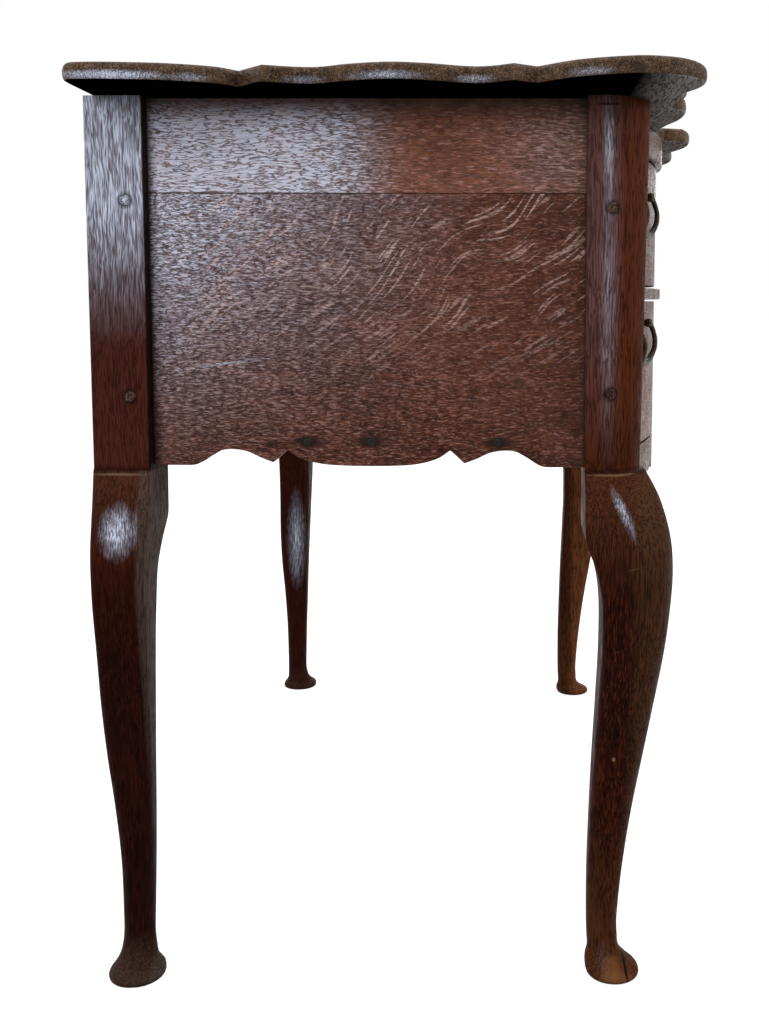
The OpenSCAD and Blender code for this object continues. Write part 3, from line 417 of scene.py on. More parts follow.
M["post_rear"] = oak(
    "oak_rear_leg", "Z", LEG, 3.1, streak=(6, 190), dash=(56, 820), line=(30, 470), lines=0.55,
    # A painted bluish sheen on the upper rear part of the post's sides
    spread=0.12, specular=0.02, sheen_paint=(0.9, -190, 100, 550, 672),
    tints=[((92, 46, 35), 0.85, {"z": (452, 458)}), ((104, 60, 38), 0.65, {"z": (370, 440, 450, 454)}),
           ((82, 32, 18), 0.6, {"z": (290, 385, 392, 425)}), ((92, 72, 60), 0.6, {"z": (40, 8)}),
           # Painted greyish sheen on the leg's front-facing side below the knee
           ((92, 80, 72), 0.7, {"y": (y_of(38), y_of(42)), "z": (454, 452)}),
           ((66, 26, 18), 0.6, {"x": (0, 200)})],
    # Painted shade on the post's front-facing side beside the recessed board
    shade_and_joints=[(0.95, {"y": (y_of(47.2), y_of(48.4)), "z": (452, 456)})],
    # Painted highlights: on the near knee, along its front arris, and on the far rear leg's inner face
    highlight_paint=[((LEFT - 19, y_of(24), 406), (12, 14, 23), 0.0, 1.6),
           ((LEFT - 17, y_of(39), 409), (8, 2.5, 18), 0.0, 0.5),
           ((-LEFT - 26, y_of(26), 236), (20, 13, 64), 0.0, 0.8)],
    # First a painted highlight line on the knee's ledge, then the dark joints round the pegs
    spots=[((LEFT - 2, y_of(24), 450), (12, 26, 1.2), 0.0, (120, 96, 74), 0.6), *peg_rings()])
M["post_front"] = oak(
    "oak_front_leg", "Z", FRONT_LEG, 4.4, streak=(7, 170), dash=(56, 760), line=(24, 430), lines=0.65,
    specular=0.02,
    tints=[((112, 56, 30), 0.7, {"z": (452, 458)}), ((106, 64, 38), 0.55, {"z": (350, 440, 450, 454)}),
           # Painted sheen on the leg's front facet below the knee
           ((96, 68, 44), 0.4, {"y": (y_of(452), y_of(464)), "z": (454, 440)}),
           ((104, 62, 34), 0.6, {"z": (150, 50)}),
           # Painted light on the far front leg's knee, strongest on its front-facing part
           ((168, 108, 64), 0.7, {"x": (0, 200), "y": (-166, -176), "z": (440, 380)}),
           ((96, 58, 36), 0.5, {"x": (0, 200), "z": (450, 400)}),
           # Painted greyish sheen on the post's flat faces, rising toward the top
           ((126, 96, 96), 0.6, {"y": (-176, -168), "z": (452, 600)})],
    # Painted highlights: a streak down the post, one along the knee's ridge, a faint one on the foot
    highlight_paint=[((LEFT, y_of(434), 722), (10, 5, 46), 0.0, 0.7),
           ((LEFT, y_of(435), 600), (10, 7, 130), 0.0, 0.25),
           ((LEFT - 26, y_of(446), 428), (16, 4.5, 26), 0.43, 1.2),
           ((LEFT - 16, y_of(438), 20), (30, 9, 14), 0.0, 0.2)],
    # Darker toward the knee
    shade_and_joints=[(0.3, {"z": (560, 470, 452, 450)})],
    spots=[((LEFT - 4, y_of(450), 4), (34, 17, 6), 0.0, (116, 76, 44), 0.5),
           ((LEFT - 4, y_of(446), 11), (34, 9, 9), 0.0, (124, 80, 46), 0.45),
           ((LEFT - 4, y_of(457), 14), (34, 1.5, 16), 0.245, (8, 5, 4), 0.9),
           ((LEFT, y_of(434), 758), (8, 12, 1.2), 0.0, (20, 10, 10), 0.8),
           # A painted highlight line on the knee's ledge
           ((LEFT - 12, y_of(440), 452), (30, 26, 1.2), 0.0, (120, 92, 66), 0.6),
           ((LEFT - 18, y_of(456), 377), (12, 8, 0.8), 0.3, (120, 80, 60), 0.6),
           ((LEFT - 12, y_of(445), 306), (12, 6, 0.8), 0.1, (140, 100, 84), 0.6),
           ((LEFT, y_of(444), 206), (14, 1.8, 2.4), 0.0, (150, 110, 80), 0.6), *peg_rings()])
M["top"] = oak(
    "oak_top", "X", TOP_TONES, 5.2, streak=(8, 150), dash=(620, 860), line=(30, 320), lines=0.5,
    # Painted highlights in patches low on the left edge
    wear=0.5, specular=0.08, highlight_paint=edge_highlights(),
    spots=[((LEFT - 84, y_of(448), 771), (12, 6, 5), 0.0, (34, 24, 18), 0.8)])
# The top's underside: painted shade, with the front lobes' underside painted pale as lit from below
M["top_under"] = oak(
    "oak_top_under_shade", "X", UNDER_SHADE, 5.2, streak=(8, 150), dash=(520, 700), wear=0.0, specular=0.0,
    gloss=0.7, tints=[((176, 170, 166), 1.0, {"y": (-178, -212)})])
M["front"] = oak("oak_fronts", "X", FACE, 6.6, streak=(8, 150), dash=(90, 640), line=(40, 420),
                 lines=0.6, wear=0.5, specular=0.2, gloss=0.34,
                 tints=[((112, 58, 34), 0.5, {"z": (560, 520)})])
M["rail"] = oak("oak_rails", "X", FACE, 7.7, streak=(8, 150), dash=(90, 640), line=(40, 420),
                lines=0.6, wear=0.7, specular=0.2, gloss=0.34)
M["peg"] = oak("oak_pegs", "X", ((30, 18, 14), (62, 42, 34), (98, 76, 66)), 8.1, wear=0.0, grime_and_shade=0.9,
               # A painted highlight on one peg
               lines=0.3, highlight_paint=[((LEFT, y_of(33), 680), (10, 6, 6), 0.0, 1.2)])
M["inner_x"] = oak("oak_inner_x", "X", BARE, 9.4, gloss=0.62, wear=0.15, grime_and_shade=0.45)
M["inner_y"] = oak("oak_inner_y", "Y", BARE, 10.8, gloss=0.62, wear=0.15, grime_and_shade=0.45)
M["back"] = oak("oak_back", "X", ((56, 38, 25), (98, 70, 47), (134, 102, 73)), 12.3, lines=0.6, gloss=0.66,
                wear=0.15, grime_and_shade=0.9, shade_and_joints=[(0.8, {"z": (BACK_JOINT - 1.6, BACK_JOINT - 0.5,
                                                           BACK_JOINT + 0.5, BACK_JOINT + 1.6)})])
M["brass"] = aged_metal("old_brass", ((9, 8, 6), (26, 21, 15), (92, 74, 44)), 0.45, 0.6)
M["iron"] = aged_metal("old_iron", ((9, 8, 8), (22, 20, 19), (52, 47, 43)), 0.58, 0.5, 2.0)


# Mesh helpers
def to_mesh(name, bm, smooth_angle=None):
    """Turn the bmesh into a mesh with outward normals, smooth but for edges past the angle."""
    bmesh.ops.remove_doubles(bm, verts=bm.verts, dist=2e-6)
    bmesh.ops.recalc_face_normals(bm, faces=bm.faces)
    if smooth_angle is not None:
        for f in bm.faces:
            f.smooth = True
        for e in bm.edges:
            if len(e.link_faces) == 2 and e.calc_face_angle(0.0) > math.radians(smooth_angle):
                e.smooth = False
    mesh = bpy.data.meshes.new(name)
    bm.to_mesh(mesh)
    bm.free()
    return mesh


def new_piece(name, bm, body, material, replaced, smooth_angle=None):
    mesh = to_mesh(name, bm, smooth_angle)
    mesh.materials.append(M[material])
    obj = bpy.data.objects.new(name, mesh)
    bpy.context.scene.collection.objects.link(obj)
    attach(obj, body)
    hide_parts(replaced)
    return obj


def add_loft(bm, rings):
    """Join rings of equal counts of points (mm) into a skin, with flat ends."""
    rows = [[bm.verts.new(Vector(p) * MM) for p in r] for r in rings]
    n = len(rows[0])
    for a, b in zip(rows, rows[1:]):
        for i in range(n):
            j = (i + 1) % n
            bm.faces.new((a[i], a[j], b[j], b[i]))
    bm.faces.new(rows[0])
    bm.faces.new(rows[-1])
    return bm


def loft(rings):
    return add_loft(bmesh.new(), rings)


def soften(obj, width):
    """Round the edges of a piece by a width in mm."""
    m = obj.modifiers.new("edges", "BEVEL")
    m.width = width * MM
    m.segments = 2
    m.limit_method = "ANGLE"
    m.angle_limit = math.radians(35)


def catmull_rom(a, b, c, d, t):
    """A value between b and c, at the share t of the way."""
    return 0.5 * (2 * b + (c - a) * t + (2 * a - 5 * b + 4 * c - d) * t * t
                  + (3 * b - a - 3 * c + d) * t ** 3)


def spline(points, n):
    """Catmull-Rom through the points, n steps to each stretch."""
    out = []
    for i in range(len(points) - 1):
        p = [points[max(i - 1, 0)], points[i], points[i + 1], points[min(i + 2, len(points) - 1)]]
        for j in range(n):
            out.append([catmull_rom(*(q[k] for q in p), j / n) for k in range(len(p[0]))])
    out.append(list(points[-1]))
    return out


def place(x, d, z):
    """A point from its x, depth and height, in mm."""
    return (x, y_of(d), z)


# The top: the left half of its outline, as smooth runs with a straight step between each two.
# A point is x and depth, in mm
XS = -HALF - SIDE_OVER
XC = -HALF - CORNER_OVER
DF = CASE_D + FRONT_OVER
DP = CASE_D + FRONT_PEAK
TOP_RUNS = [
    [[XS + 16, REAR_SET], [XS + 5, REAR_SET + 2], [XS, REAR_SET + 11], [XS - 1, CASE_D * 0.084],
     [XS + 4, CASE_D * 0.18], [XS + 17, CASE_D * 0.26], [XS + 32, CASE_D * 0.293]],
    [[XS + 10, CASE_D * 0.34], [XS + 20, CASE_D * 0.421], [XS + 8, CASE_D * 0.484],
     [XS, CASE_D * 0.558], [XS + 6, CASE_D * 0.626], [XS + 18, CASE_D * 0.703],
     [XS + 5, CASE_D * 0.764]],
    [[XS + 17, CASE_D - 92], [XC + 16, CASE_D - 65.5], [XC + 3, CASE_D - 33], [XC, CASE_D - 7],
     [XC + 10, DF - 9.5], [XC + 31, DF + 8], [-HALF - 30, DF + 11], [-HALF + 3, DF - 1]],
    [[-HALF * 0.947, DF + 5], [-HALF * 0.9, DF + 2], [-HALF * 0.826, DF], [-HALF * 0.79, DF + 11],
     [-HALF * 0.724, DF + 17], [-HALF * 0.645, DF + 16], [-HALF * 0.56, DF + 9],
     [-HALF * 0.46, DF + 5], [-HALF * 0.37, DF + 9], [-HALF * 0.295, DF + 19]],
    [[-HALF * 0.274, DP - 8], [-HALF * 0.224, DP - 1], [-HALF * 0.16, DP], [-HALF * 0.09, DP - 6],
     [-HALF * 0.035, DP - 12], [0, DP - 13.5]],
]
# The edge's rounding: [share of the thickness, inset]
TOP_EDGE = ((0.0, 4.5), (0.03, 3.0), (0.09, 1.6), (0.18, 0.7), (0.3, 0.25), (0.48, 0.2), (0.64, 0.4),
            (0.76, 0.95), (0.86, 1.9), (0.93, 3.1), (0.98, 4.6), (1.0, 6.5))
# How many points ahead inset looks for a place where the outline crosses itself
LOOP_REACH = 24


def top_outline():
    left = []
    for run in TOP_RUNS:
        left += spline(run, 7)
    return [tuple(p) for p in left] + [(-p[0], p[1]) for p in left[-2::-1]]


def inset(points, dist):
    """The outline moved inward; a loop that this makes at a corner shrinks to its crossing."""
    out = []
    n = len(points)
    for i in range(n):
        p0, p, p1 = (Vector(points[k % n]) for k in (i - 1, i, i + 1))
        a, b = (p - p0).normalized(), (p1 - p).normalized()
        na, nb = Vector((-a.y, a.x)), Vector((-b.y, b.x))
        m = (na + nb).normalized()
        out.append(p + m * dist / max(m.dot(na), 0.55))
    for i in range(n):
        for j in range(i + LOOP_REACH, i + 1, -1):
            hit = intersect_line_line_2d(out[i], out[(i + 1) % n], out[j % n], out[(j + 1) % n])
            if hit:
                for k in range(i + 1, j + 1):
                    out[k % n] = hit
                break
    return out


def make_top():
    edge = [(x, y_of(d)) for x, d in top_outline()]
    rings = [[(*p, TOP_Z + s * TOP_T) for p in inset(edge, r)] for s, r in TOP_EDGE]
    piece = new_piece("top_board", loft(rings), "carcase", "top", "top", TOP_SHARP)
    piece.data.materials.append(M["top_under"])
    for face in piece.data.polygons:
        if face.normal.z < -0.8:
            face.material_index = 1


# The legs. Stations: [height, s0, s1, e0, e1, corner, roundness, other radii]
FRONT_LINE = [
    [0, 0, 37, 0, 37, 18, 1, 17.9], [FOOT_RIM * 0.3, -4.5, 41.5, -4.5, 41.5, 22.5, 1, 22],
    [FOOT_RIM, -3.5, 43, -3.5, 43, 23, 1, 22], [FOOT_RIM + 6, 5.5, 43, 5.5, 43, 18, 1, 18],
    [20, 12.5, 12 + FRONT_ANKLE, 12.5, 12 + FRONT_ANKLE, 14, 1, 14],
    [32, 14, 12.5 + FRONT_ANKLE, 14, 12.5 + FRONT_ANKLE, 13, 1, 13],
    [KNEE_H * 0.11, 14.2, 13 + FRONT_ANKLE, 14.2, 13 + FRONT_ANKLE, 13, 1, 12],
    [KNEE_H * 0.21, 10.5, 13 + FRONT_ANKLE, 10.5, 13 + FRONT_ANKLE, 14, 1, 11],
    [KNEE_H * 0.33, 3.5, 11.5 + FRONT_ANKLE, 3.5, 11.5 + FRONT_ANKLE, 17, 1, 10],
    [KNEE_H * 0.44, -FRONT_KNEE * 0.18, 38.5, -FRONT_KNEE * 0.18, 38.5, 21, 0.95, 8],
    [KNEE_H * 0.55, -FRONT_KNEE * 0.5, 36, -FRONT_KNEE * 0.5, 36, 26, 0.9, 7],
    [KNEE_H * 0.66, -FRONT_KNEE * 0.8, 34, -FRONT_KNEE * 0.8, 34, 30, 0.85, 6],
    [KNEE_H * 0.757, -FRONT_KNEE * 0.97, 34.5, -FRONT_KNEE * 0.97, 34.5, 33, 0.8, 5],
    [KNEE_H * 0.822, -FRONT_KNEE, 40, -FRONT_KNEE, 40, 34, 0.75, 4],
    [KNEE_H * 0.88, -FRONT_KNEE * 0.9, POST, -FRONT_KNEE * 0.9, POST, 34, 0.65, 3],
    [KNEE_H * 0.943, -FRONT_KNEE * 0.6, POST, -FRONT_KNEE * 0.6, POST, 32, 0.5, 2.5],
    [KNEE_H - 3, -FRONT_KNEE * 0.17, POST, -FRONT_KNEE * 0.17, POST, 27, 0.3, 2]]
ROUND_CANT = CANT + 5
FRONT_POST = [
    [KNEE_H - 1, 0, POST, 0, POST, ROUND_CANT, 0.55, 1.5],
    [TOP_Z, 0, POST, -POST_FLARE, POST, ROUND_CANT + POST_FLARE, 0.55, 1.5]]
REAR_LINE = [
    [0, -17, 25, 2.5, 44.5, 20.5, 1, 20.5], [FOOT_RIM * 0.3, -20, 29, 0.5, 50.5, 24, 1, 24],
    [FOOT_RIM, -19, 28, 1, 49.4, 23, 1, 23], [FOOT_RIM + 7, -10, 26, 6, 42.5, 18, 1, 18],
    [21, -2, 28, 8.8, 39, 14.5, 1, 14.5],
    [34, 3, 3.5 + REAR_ANKLE, 9.8, 11 + REAR_ANKLE, 13, 1, 13],
    [KNEE_H * 0.12, 4, 4 + REAR_ANKLE, 10, 11.3 + REAR_ANKLE, 12, 1, 12],
    [KNEE_H * 0.22, 4.2, 4.6 + REAR_ANKLE, 9.5, 12.5 + REAR_ANKLE, 11, 1, 11],
    [KNEE_H * 0.33, 1.8, 3 + REAR_ANKLE, 6.5, 14 + REAR_ANKLE, 10, 1, 10],
    [KNEE_H * 0.44, -REAR_KNEE * 0.06, 26.5, 2, 41.3, 9, 1, 9],
    [KNEE_H * 0.54, -REAR_KNEE * 0.29, 24.5, 0, 42.7, 8, 1, 8],
    [KNEE_H * 0.65, -REAR_KNEE * 0.63, 23, 0, 44, 7, 1, 7],
    [KNEE_H * 0.735, -REAR_KNEE * 0.9, 24, 0, 45, 6, 1, 6],
    [KNEE_H * 0.80, -REAR_KNEE, 28, 0, 45.5, 6, 1, 5],
    [KNEE_H * 0.85, -REAR_KNEE * 0.95, 38, 0, 46.8, 6, 1, 4],
    [KNEE_H * 0.895, -REAR_KNEE * 0.74, POST - 1, 0, POST, 6, 1, 3],
    [KNEE_H * 0.943, -REAR_KNEE * 0.45, POST, 0, POST, 5, 1, 2.5],
    [KNEE_H - 3, -REAR_KNEE * 0.15, POST, 0, POST, 3, 1, 2]]
REAR_POST = [
    [KNEE_H - 1, 0, POST, 0, POST, 1.5, 1, 1.5],
    [TOP_Z, 0, POST, 0, POST, 1.5, 1, 1.5]]


CANT_STEPS, CORNER_STEPS, BOX_STEPS = 14, 6, 4


def section(s0, s1, e0, e1, c, round_, r):
    """A leg's cross-section: a cant or arc of size c at the outer corner, radii r elsewhere."""
    pts = []
    for i in range(CANT_STEPS + 1):
        t = i / CANT_STEPS
        a = math.radians(90 * t)
        pts.append((s0 + c * ((1 - round_) * t + round_ * (1 - math.cos(a))),
                    e0 + c * ((1 - round_) * (1 - t) + round_ * (1 - math.sin(a)))))
    for q in range(3):
        for i in range(CORNER_STEPS + 1):
            a = math.radians(90 * i / CORNER_STEPS)
            sa, ca = math.sin(a), math.cos(a)
            if q == 0:
                pts.append((s1 - r + r * sa, e0 + r - r * ca))
            elif q == 1:
                pts.append((s1 - r + r * ca, e1 - r + r * sa))
            else:
                pts.append((s0 + r - r * sa, e1 - r + r * ca))
    return pts


def make_leg(node, line, post, front, side):
    rings = []
    for q in spline(line, 6) + post:
        z, s0, s1, e0, e1, *rest = q
        rings.append([place(side * (HALF - s), CASE_D - e if front else e, z)
                      for s, e in section(s0, min(s1, POST), e0, min(e1, POST), *rest)])
    material = "post_front" if front else "post_rear"
    return new_piece(node + "_wood", loft(rings), "carcase", material, node, SHARP)


# The side boards, with their scalloped lower edge
SCALLOP = (spline([[161, 0], [148, 0.05], [136, 0.55], [126, 0.93], [116, 1], [104, 0.86],
                   [93, 0.5], [82, 0.2]], 5)
           + spline([[70, 1], [58, 0.45], [40, 0.12], [20, 0.02], [0, 0]], 5))
IN_POST = 2.0


def board_outline(low, high, scalloped):
    """Depths and heights round a side board, from its lower rear corner."""
    d0, d1 = POST - IN_POST, CASE_D - POST + IN_POST
    edge = []
    if scalloped:
        half = [(CASE_D / 2 - q[0], KNEE_H + SCALLOP_H * q[1]) for q in SCALLOP]
        edge = half + [(CASE_D - d, z) for d, z in reversed(half[:-1])]
    return [(d0, low), *edge, (d1, low), (d1, high), (d0, high)]


def make_side_board(node, side, low, high, scalloped, material):
    outline = board_outline(low, high, scalloped)
    bm = loft([[place(side * x, d, z) for d, z in outline] for x in (BOARD_X, BOARD_X - BOARD_T)])
    soften(new_piece(node + "_wood", bm, "carcase", material, node), 0.8)


# The front: rails, apron and drawer fronts follow one curve in plan
def reach(x):
    """How far the front swells at x, in mm."""
    u = abs(x)
    if u < CREST_X:
        return CENTRE_SWELL + (SWELL - CENTRE_SWELL) * (1 - math.cos(math.pi * u / CREST_X)) / 2
    return SWELL * (1 + math.cos(math.pi * min(1, (u - CREST_X) / (INNER_X - CREST_X)))) / 2


def slope(x):
    """How steeply the swell changes at x."""
    return reach(x + 0.5) - reach(x - 0.5)


def soft_box(d0, d1, z0, z1, r):
    """Depths and heights round a box with corners of radius r."""
    out = []
    for k, (cd, cz) in enumerate(((d1 - r, z0 + r), (d1 - r, z1 - r), (d0 + r, z1 - r), (d0 + r, z0 + r))):
        for i in range(BOX_STEPS + 1):
            a = math.radians(-90 + 90 * k + 90 * i / BOX_STEPS)
            out.append((cd + r * math.cos(a), cz + r * math.sin(a)))
    return out


FRONT_STEPS = 88
END_R = 1.0


def make_front(node, body, back, out, w, low, high, material, rounder=1.0):
    """A shaped piece across the front. low may be a list of (x, height) along its lower edge."""
    if isinstance(low, float):
        low = [(-w + 2 * w * i / FRONT_STEPS, low) for i in range(FRONT_STEPS + 1)]
    ends = [(low[0][0], low[0][1], END_R), (low[0][0] + 0.3 * END_R, low[0][1], 0.3 * END_R)]
    ends_far = [(-x, z, k) for x, z, k in reversed(ends)]
    rings = []
    for x, z, shrink in ends + [(x, z, 0.0) for x, z in low[1:-1]] + ends_far:
        front = CASE_D + out + reach(x) - shrink
        rings.append([place(x, d, h) for d, h in soft_box(
            back + shrink, front, z + shrink, high - shrink, rounder)])
    return new_piece(node + "_wood", loft(rings), body, material, node, CURVED_SHARP)


APRON_LINE = (spline([[0, 0.1], [0.12, 0.03], [0.26, 0], [0.36, 0.12], [0.42, 0.62]], 6)
              + spline([[0.46, 0.2], [0.52, 0.32], [0.6, 0.78], [0.7, 1], [0.8, 0.9], [0.9, 0.42],
                        [1, 0.12]], 6))
APRON_CUT = 17.0


def apron_low():
    half = [(q[0] * INNER_X, APRON_Z + APRON_CUT * q[1]) for q in APRON_LINE]
    return [(-x, z) for x, z in reversed(half[1:])] + half


def cut(piece, bm):
    """Take the bmesh away from the piece."""
    cutter = bpy.data.objects.new("cutter", to_mesh("cutter", bm))
    bpy.context.scene.collection.objects.link(cutter)
    m = piece.modifiers.new("cut", "BOOLEAN")
    m.object = cutter
    m.operation = "DIFFERENCE"
    m.solver = "EXACT"
    bpy.context.view_layer.update()
    shape = bpy.data.meshes.new_from_object(piece.evaluated_get(bpy.context.evaluated_depsgraph_get()))
    shape.set_sharp_from_angle(angle=math.radians(SHARP))
    piece.modifiers.clear()
    old = piece.data
    piece.data = shape
    bpy.data.meshes.remove(old)
    bpy.data.objects.remove(cutter)


def cut_keyhole(front, z):
    """Cut the keyhole through a drawer front: a round hole with a slot below it."""
    outline = [(KEY_R * math.cos(math.radians(a)), KEY_R * math.sin(math.radians(a)))
               for a in range(-58, 239, 11)]
    outline += [(-KEY_SLOT_HALF, -KEY_SLOT_H), (KEY_SLOT_HALF, -KEY_SLOT_H)]
    depths = (FRONT_IN + LOCK_T + 0.5, CASE_D + SWELL + 5)
    cut(front, loft([[place(x, d, z + h) for x, h in outline] for d in depths]))


def cut_box(piece, half_w, d0, d1, z0, z1):
    """Cut a box, centred on the width, out of a piece."""
    cut(piece, loft([[place(x, d, z) for x, d in ((-half_w, d0), (half_w, d0), (half_w, d1),
                                                  (-half_w, d1))] for z in (z0, z1)]))


def cut_mortise(rail, z):
    """Cut the mortise for a lock's bolt into the underside of a rail."""
    cut_box(rail, BOLT_W / 2 + MORTISE_GAP, FRONT_IN + BOLT_D - MORTISE_GAP,
            FRONT_IN + BOLT_D + BOLT_T + MORTISE_GAP, z - 1, z + BOLT_THROW + MORTISE_GAP)


def cut_pocket(face, high):
    """Cut the pocket for the lock into the back of a drawer front."""
    cut_box(face, LOCK_W / 2 + LOCK_EASE, FRONT_IN - 1, FRONT_IN + LOCK_T + LOCK_EASE,
            high - LOCK_H - LOCK_EASE, high + 1)


# The bails: rods that swing on pins in the heads of the studs
BAIL_HALF = [
    [HEAD_R + 0.6, 0, 0, 0.95], [HEAD_R + 3, -0.03, 0.4, 1], [HEAD_R + 4.6, -0.12, 1.8, 1],
    [HEAD_R + 3.8, -0.26, 3.8, 0.95], [4.4, -0.4, 5.5, 0.95], [2.2, -0.54, 5.9, 1],
    [1.2, -0.68, 5.1, 1.05], [-3.5, -0.84, 3.1, 1.1], [-13, -0.95, 1.5, 1.2],
    [-23, -0.985, 0.5, 1.35], [-STUD_GAP / 2, -1, 0.1, 1.5]]
PIN_IN = 3.0
ROD_SIDES = 16


def handle_point(side, pivot_z, across, out, up):
    """A place at a handle, from its own across, out and up."""
    a = math.atan(slope(-HANDLE_X))
    x = -HANDLE_X + across * math.cos(a) - out * math.sin(a)
    d = CASE_D - DRAWER_SET + reach(HANDLE_X) + across * math.sin(a) + out * math.cos(a)
    return place(-side * x, d, pivot_z + up)


def make_bail(node, body, side, pivot_z):
    pin = PIN_R / (BAIL_D / 2)
    half = [(-PIN_IN, 0, 0, pin * 0.8), (-PIN_IN + 0.4, 0, 0, pin), (HEAD_R + 0.1, 0, 0, pin)]
    half += [tuple(q) for q in spline(BAIL_HALF, 6)]
    path = [(-STUD_GAP / 2 - q[0], PIVOT_OUT + q[2], q[1] * BAIL_DROP, q[3]) for q in half]
    path += [(-q[0], q[1], q[2], q[3]) for q in reversed(path[:-1])]
    rings = []
    for i, q in enumerate(path):
        before, after = path[max(i - 1, 0)], path[min(i + 1, len(path) - 1)]
        t = (Vector(after[:3]) - Vector(before[:3])).normalized()
        a = Vector((0, 1, 0)).cross(t).normalized()
        b = t.cross(a)
        r = BAIL_D / 2 * q[3]
        turns = [k * math.tau / ROD_SIDES for k in range(ROD_SIDES)]
        ring = [Vector(q[:3]) + r * (a * math.cos(turn) + b * math.sin(turn)) for turn in turns]
        rings.append([handle_point(side, pivot_z, *p) for p in ring])
    new_piece(node + "_rod", loft(rings), body, "brass", node, CURVED_SHARP)


# Pegs and nail heads, each a little different
def knob(bm, centre, axis, radius, proud, deep, sides, seed):
    """A worn round or many-sided head that stands proud along the axis."""
    axis = Vector(axis)
    u = axis.orthogonal().normalized()
    v = axis.cross(u)
    rings = []
    for share, h in ((1.0, -deep), (1.0, proud * 0.2), (0.9, proud * 0.75), (0.55, proud)):
        ring = []
        for k in range(sides):
            a = math.tau * k / sides
            wobble = 1 + 0.06 * math.sin(2 * a + seed) + 0.04 * math.sin(3 * a + 2.1 * seed)
            ring.append(Vector(centre) + axis * h + radius * share * wobble
                        * (u * math.cos(a) + v * math.sin(a)))
        rings.append(ring)
    add_loft(bm, rings)


def make_pegs():
    bm = bmesh.new()
    for i, (d, z) in enumerate(PEG_SPOTS):
        for side in (-1, 1):
            knob(bm, place(side * HALF, d, z), (side, 0, 0), PEG_D / 2, proud=0.5, deep=6, sides=20,
                 seed=1.7 * i + side)
    new_piece("board_pegs_wood", bm, "carcase", "peg", "board_pegs", SHARP)
    bm = bmesh.new()
    for i, share in enumerate(NAIL_SPOTS):
        for side in (-1, 1):
            knob(bm, place(side * BOARD_X, CASE_D * share, NAIL_Z), (side, 0, 0), 3.4, proud=0.7,
                 deep=4, sides=9, seed=2.3 * i + side)
    new_piece("runner_nails_iron", bm, "carcase", "iron", "runner_nails", SHARP)


# Build the pieces
make_top()
for label, side in (("left", -1), ("right", 1)):
    make_leg(f"front_{label}_leg", FRONT_LINE, FRONT_POST, True, side)
    post = make_leg(f"rear_{label}_leg", REAR_LINE, REAR_POST, False, side)
    cut_box(post, INNER_X + REBATE_W, -1, BACK_SET + BACK_T, KNEE_H + 2, TOP_Z + 1)
    make_side_board(f"{label}_upper_side_board", side, BOARD_JOINT, TOP_Z, False, "upper_board")
    make_side_board(f"{label}_lower_side_board", side, KNEE_H, BOARD_JOINT, True, "lower_board")
top_rail = make_front("top_rail", "carcase", CASE_D - RAIL_T, 0, INNER_X, TOP_RAIL_Z, TOP_Z, "rail",
                      rounder=2.2)
cut_mortise(top_rail, TOP_RAIL_Z)
middle_rail = make_front("middle_rail", "carcase", CASE_D - MID_RAIL_DEEP, 0, INNER_X, MID_LOW,
                         MID_RAIL_Z, "rail", rounder=2.0)
cut_mortise(middle_rail, MID_LOW)
make_front("apron_rail", "carcase", CASE_D - RAIL_T, -DRAWER_SET, INNER_X, apron_low(), APRON_TOP,
           "rail")
for level, (low, high), drop in (("upper", UPPER_FRONT, UPPER_PIVOT), ("lower", LOWER_FRONT, LOWER_PIVOT)):
    face = make_front(f"{level}_drawer_front", f"{level}_drawer", FRONT_IN, -DRAWER_SET,
                      DRAW_X - FACE_EASE, low, high, "front")
    cut_pocket(face, high)
    cut_keyhole(face, high - KEY_DROP)
    for label, side in (("left", -1), ("right", 1)):
        make_bail(f"{level}_{label}_bail", f"{level}_{label}_bail", side, high - drop)
make_pegs()

# The nodes that stay as they are: their materials and how far their edges are softened, in mm
CAD_LOOKS = {
    "peg": (0.3, ["top_pegs"]),
    "back": (0.6, ["back_upper_board", "back_lower_board"]),
    "inner_x": (0.6, ["back_top_rail", "back_bottom_rail", "upper_drawer_back", "lower_drawer_back",
                      "upper_drawer_bottom", "lower_drawer_bottom", "upper_stops"]),
    "inner_y": (0.6, ["upper_left_runner", "upper_right_runner", "lower_left_runner",
                      "lower_right_runner", "upper_left_guide", "upper_right_guide",
                      "lower_left_guide", "lower_right_guide", "left_kicker", "right_kicker",
                      "upper_drawer_left_side", "upper_drawer_right_side", "lower_drawer_left_side",
                      "lower_drawer_right_side", "lower_stops"]),
    "brass": (0.35, ["upper_left_plate", "upper_right_plate", "lower_left_plate",
                     "lower_right_plate", "upper_studs", "lower_studs", "upper_nuts", "lower_nuts",
                     "upper_escutcheon", "lower_escutcheon"]),
    "iron": (0.3, ["back_nails", "upper_lock", "lower_lock", "upper_bolt", "lower_bolt"]),
}
for look, (width, names) in CAD_LOOKS.items():
    for n in names:
        mesh = NODES[n].data
        mesh.materials.clear()
        mesh.materials.append(M[look])
        soften(NODES[n], width)


# Floor, light and camera
STAGE_GREY, STAGE_GLOW = 0.42, 0.84
LIGHT_AIM = (0, 0, 0.45)


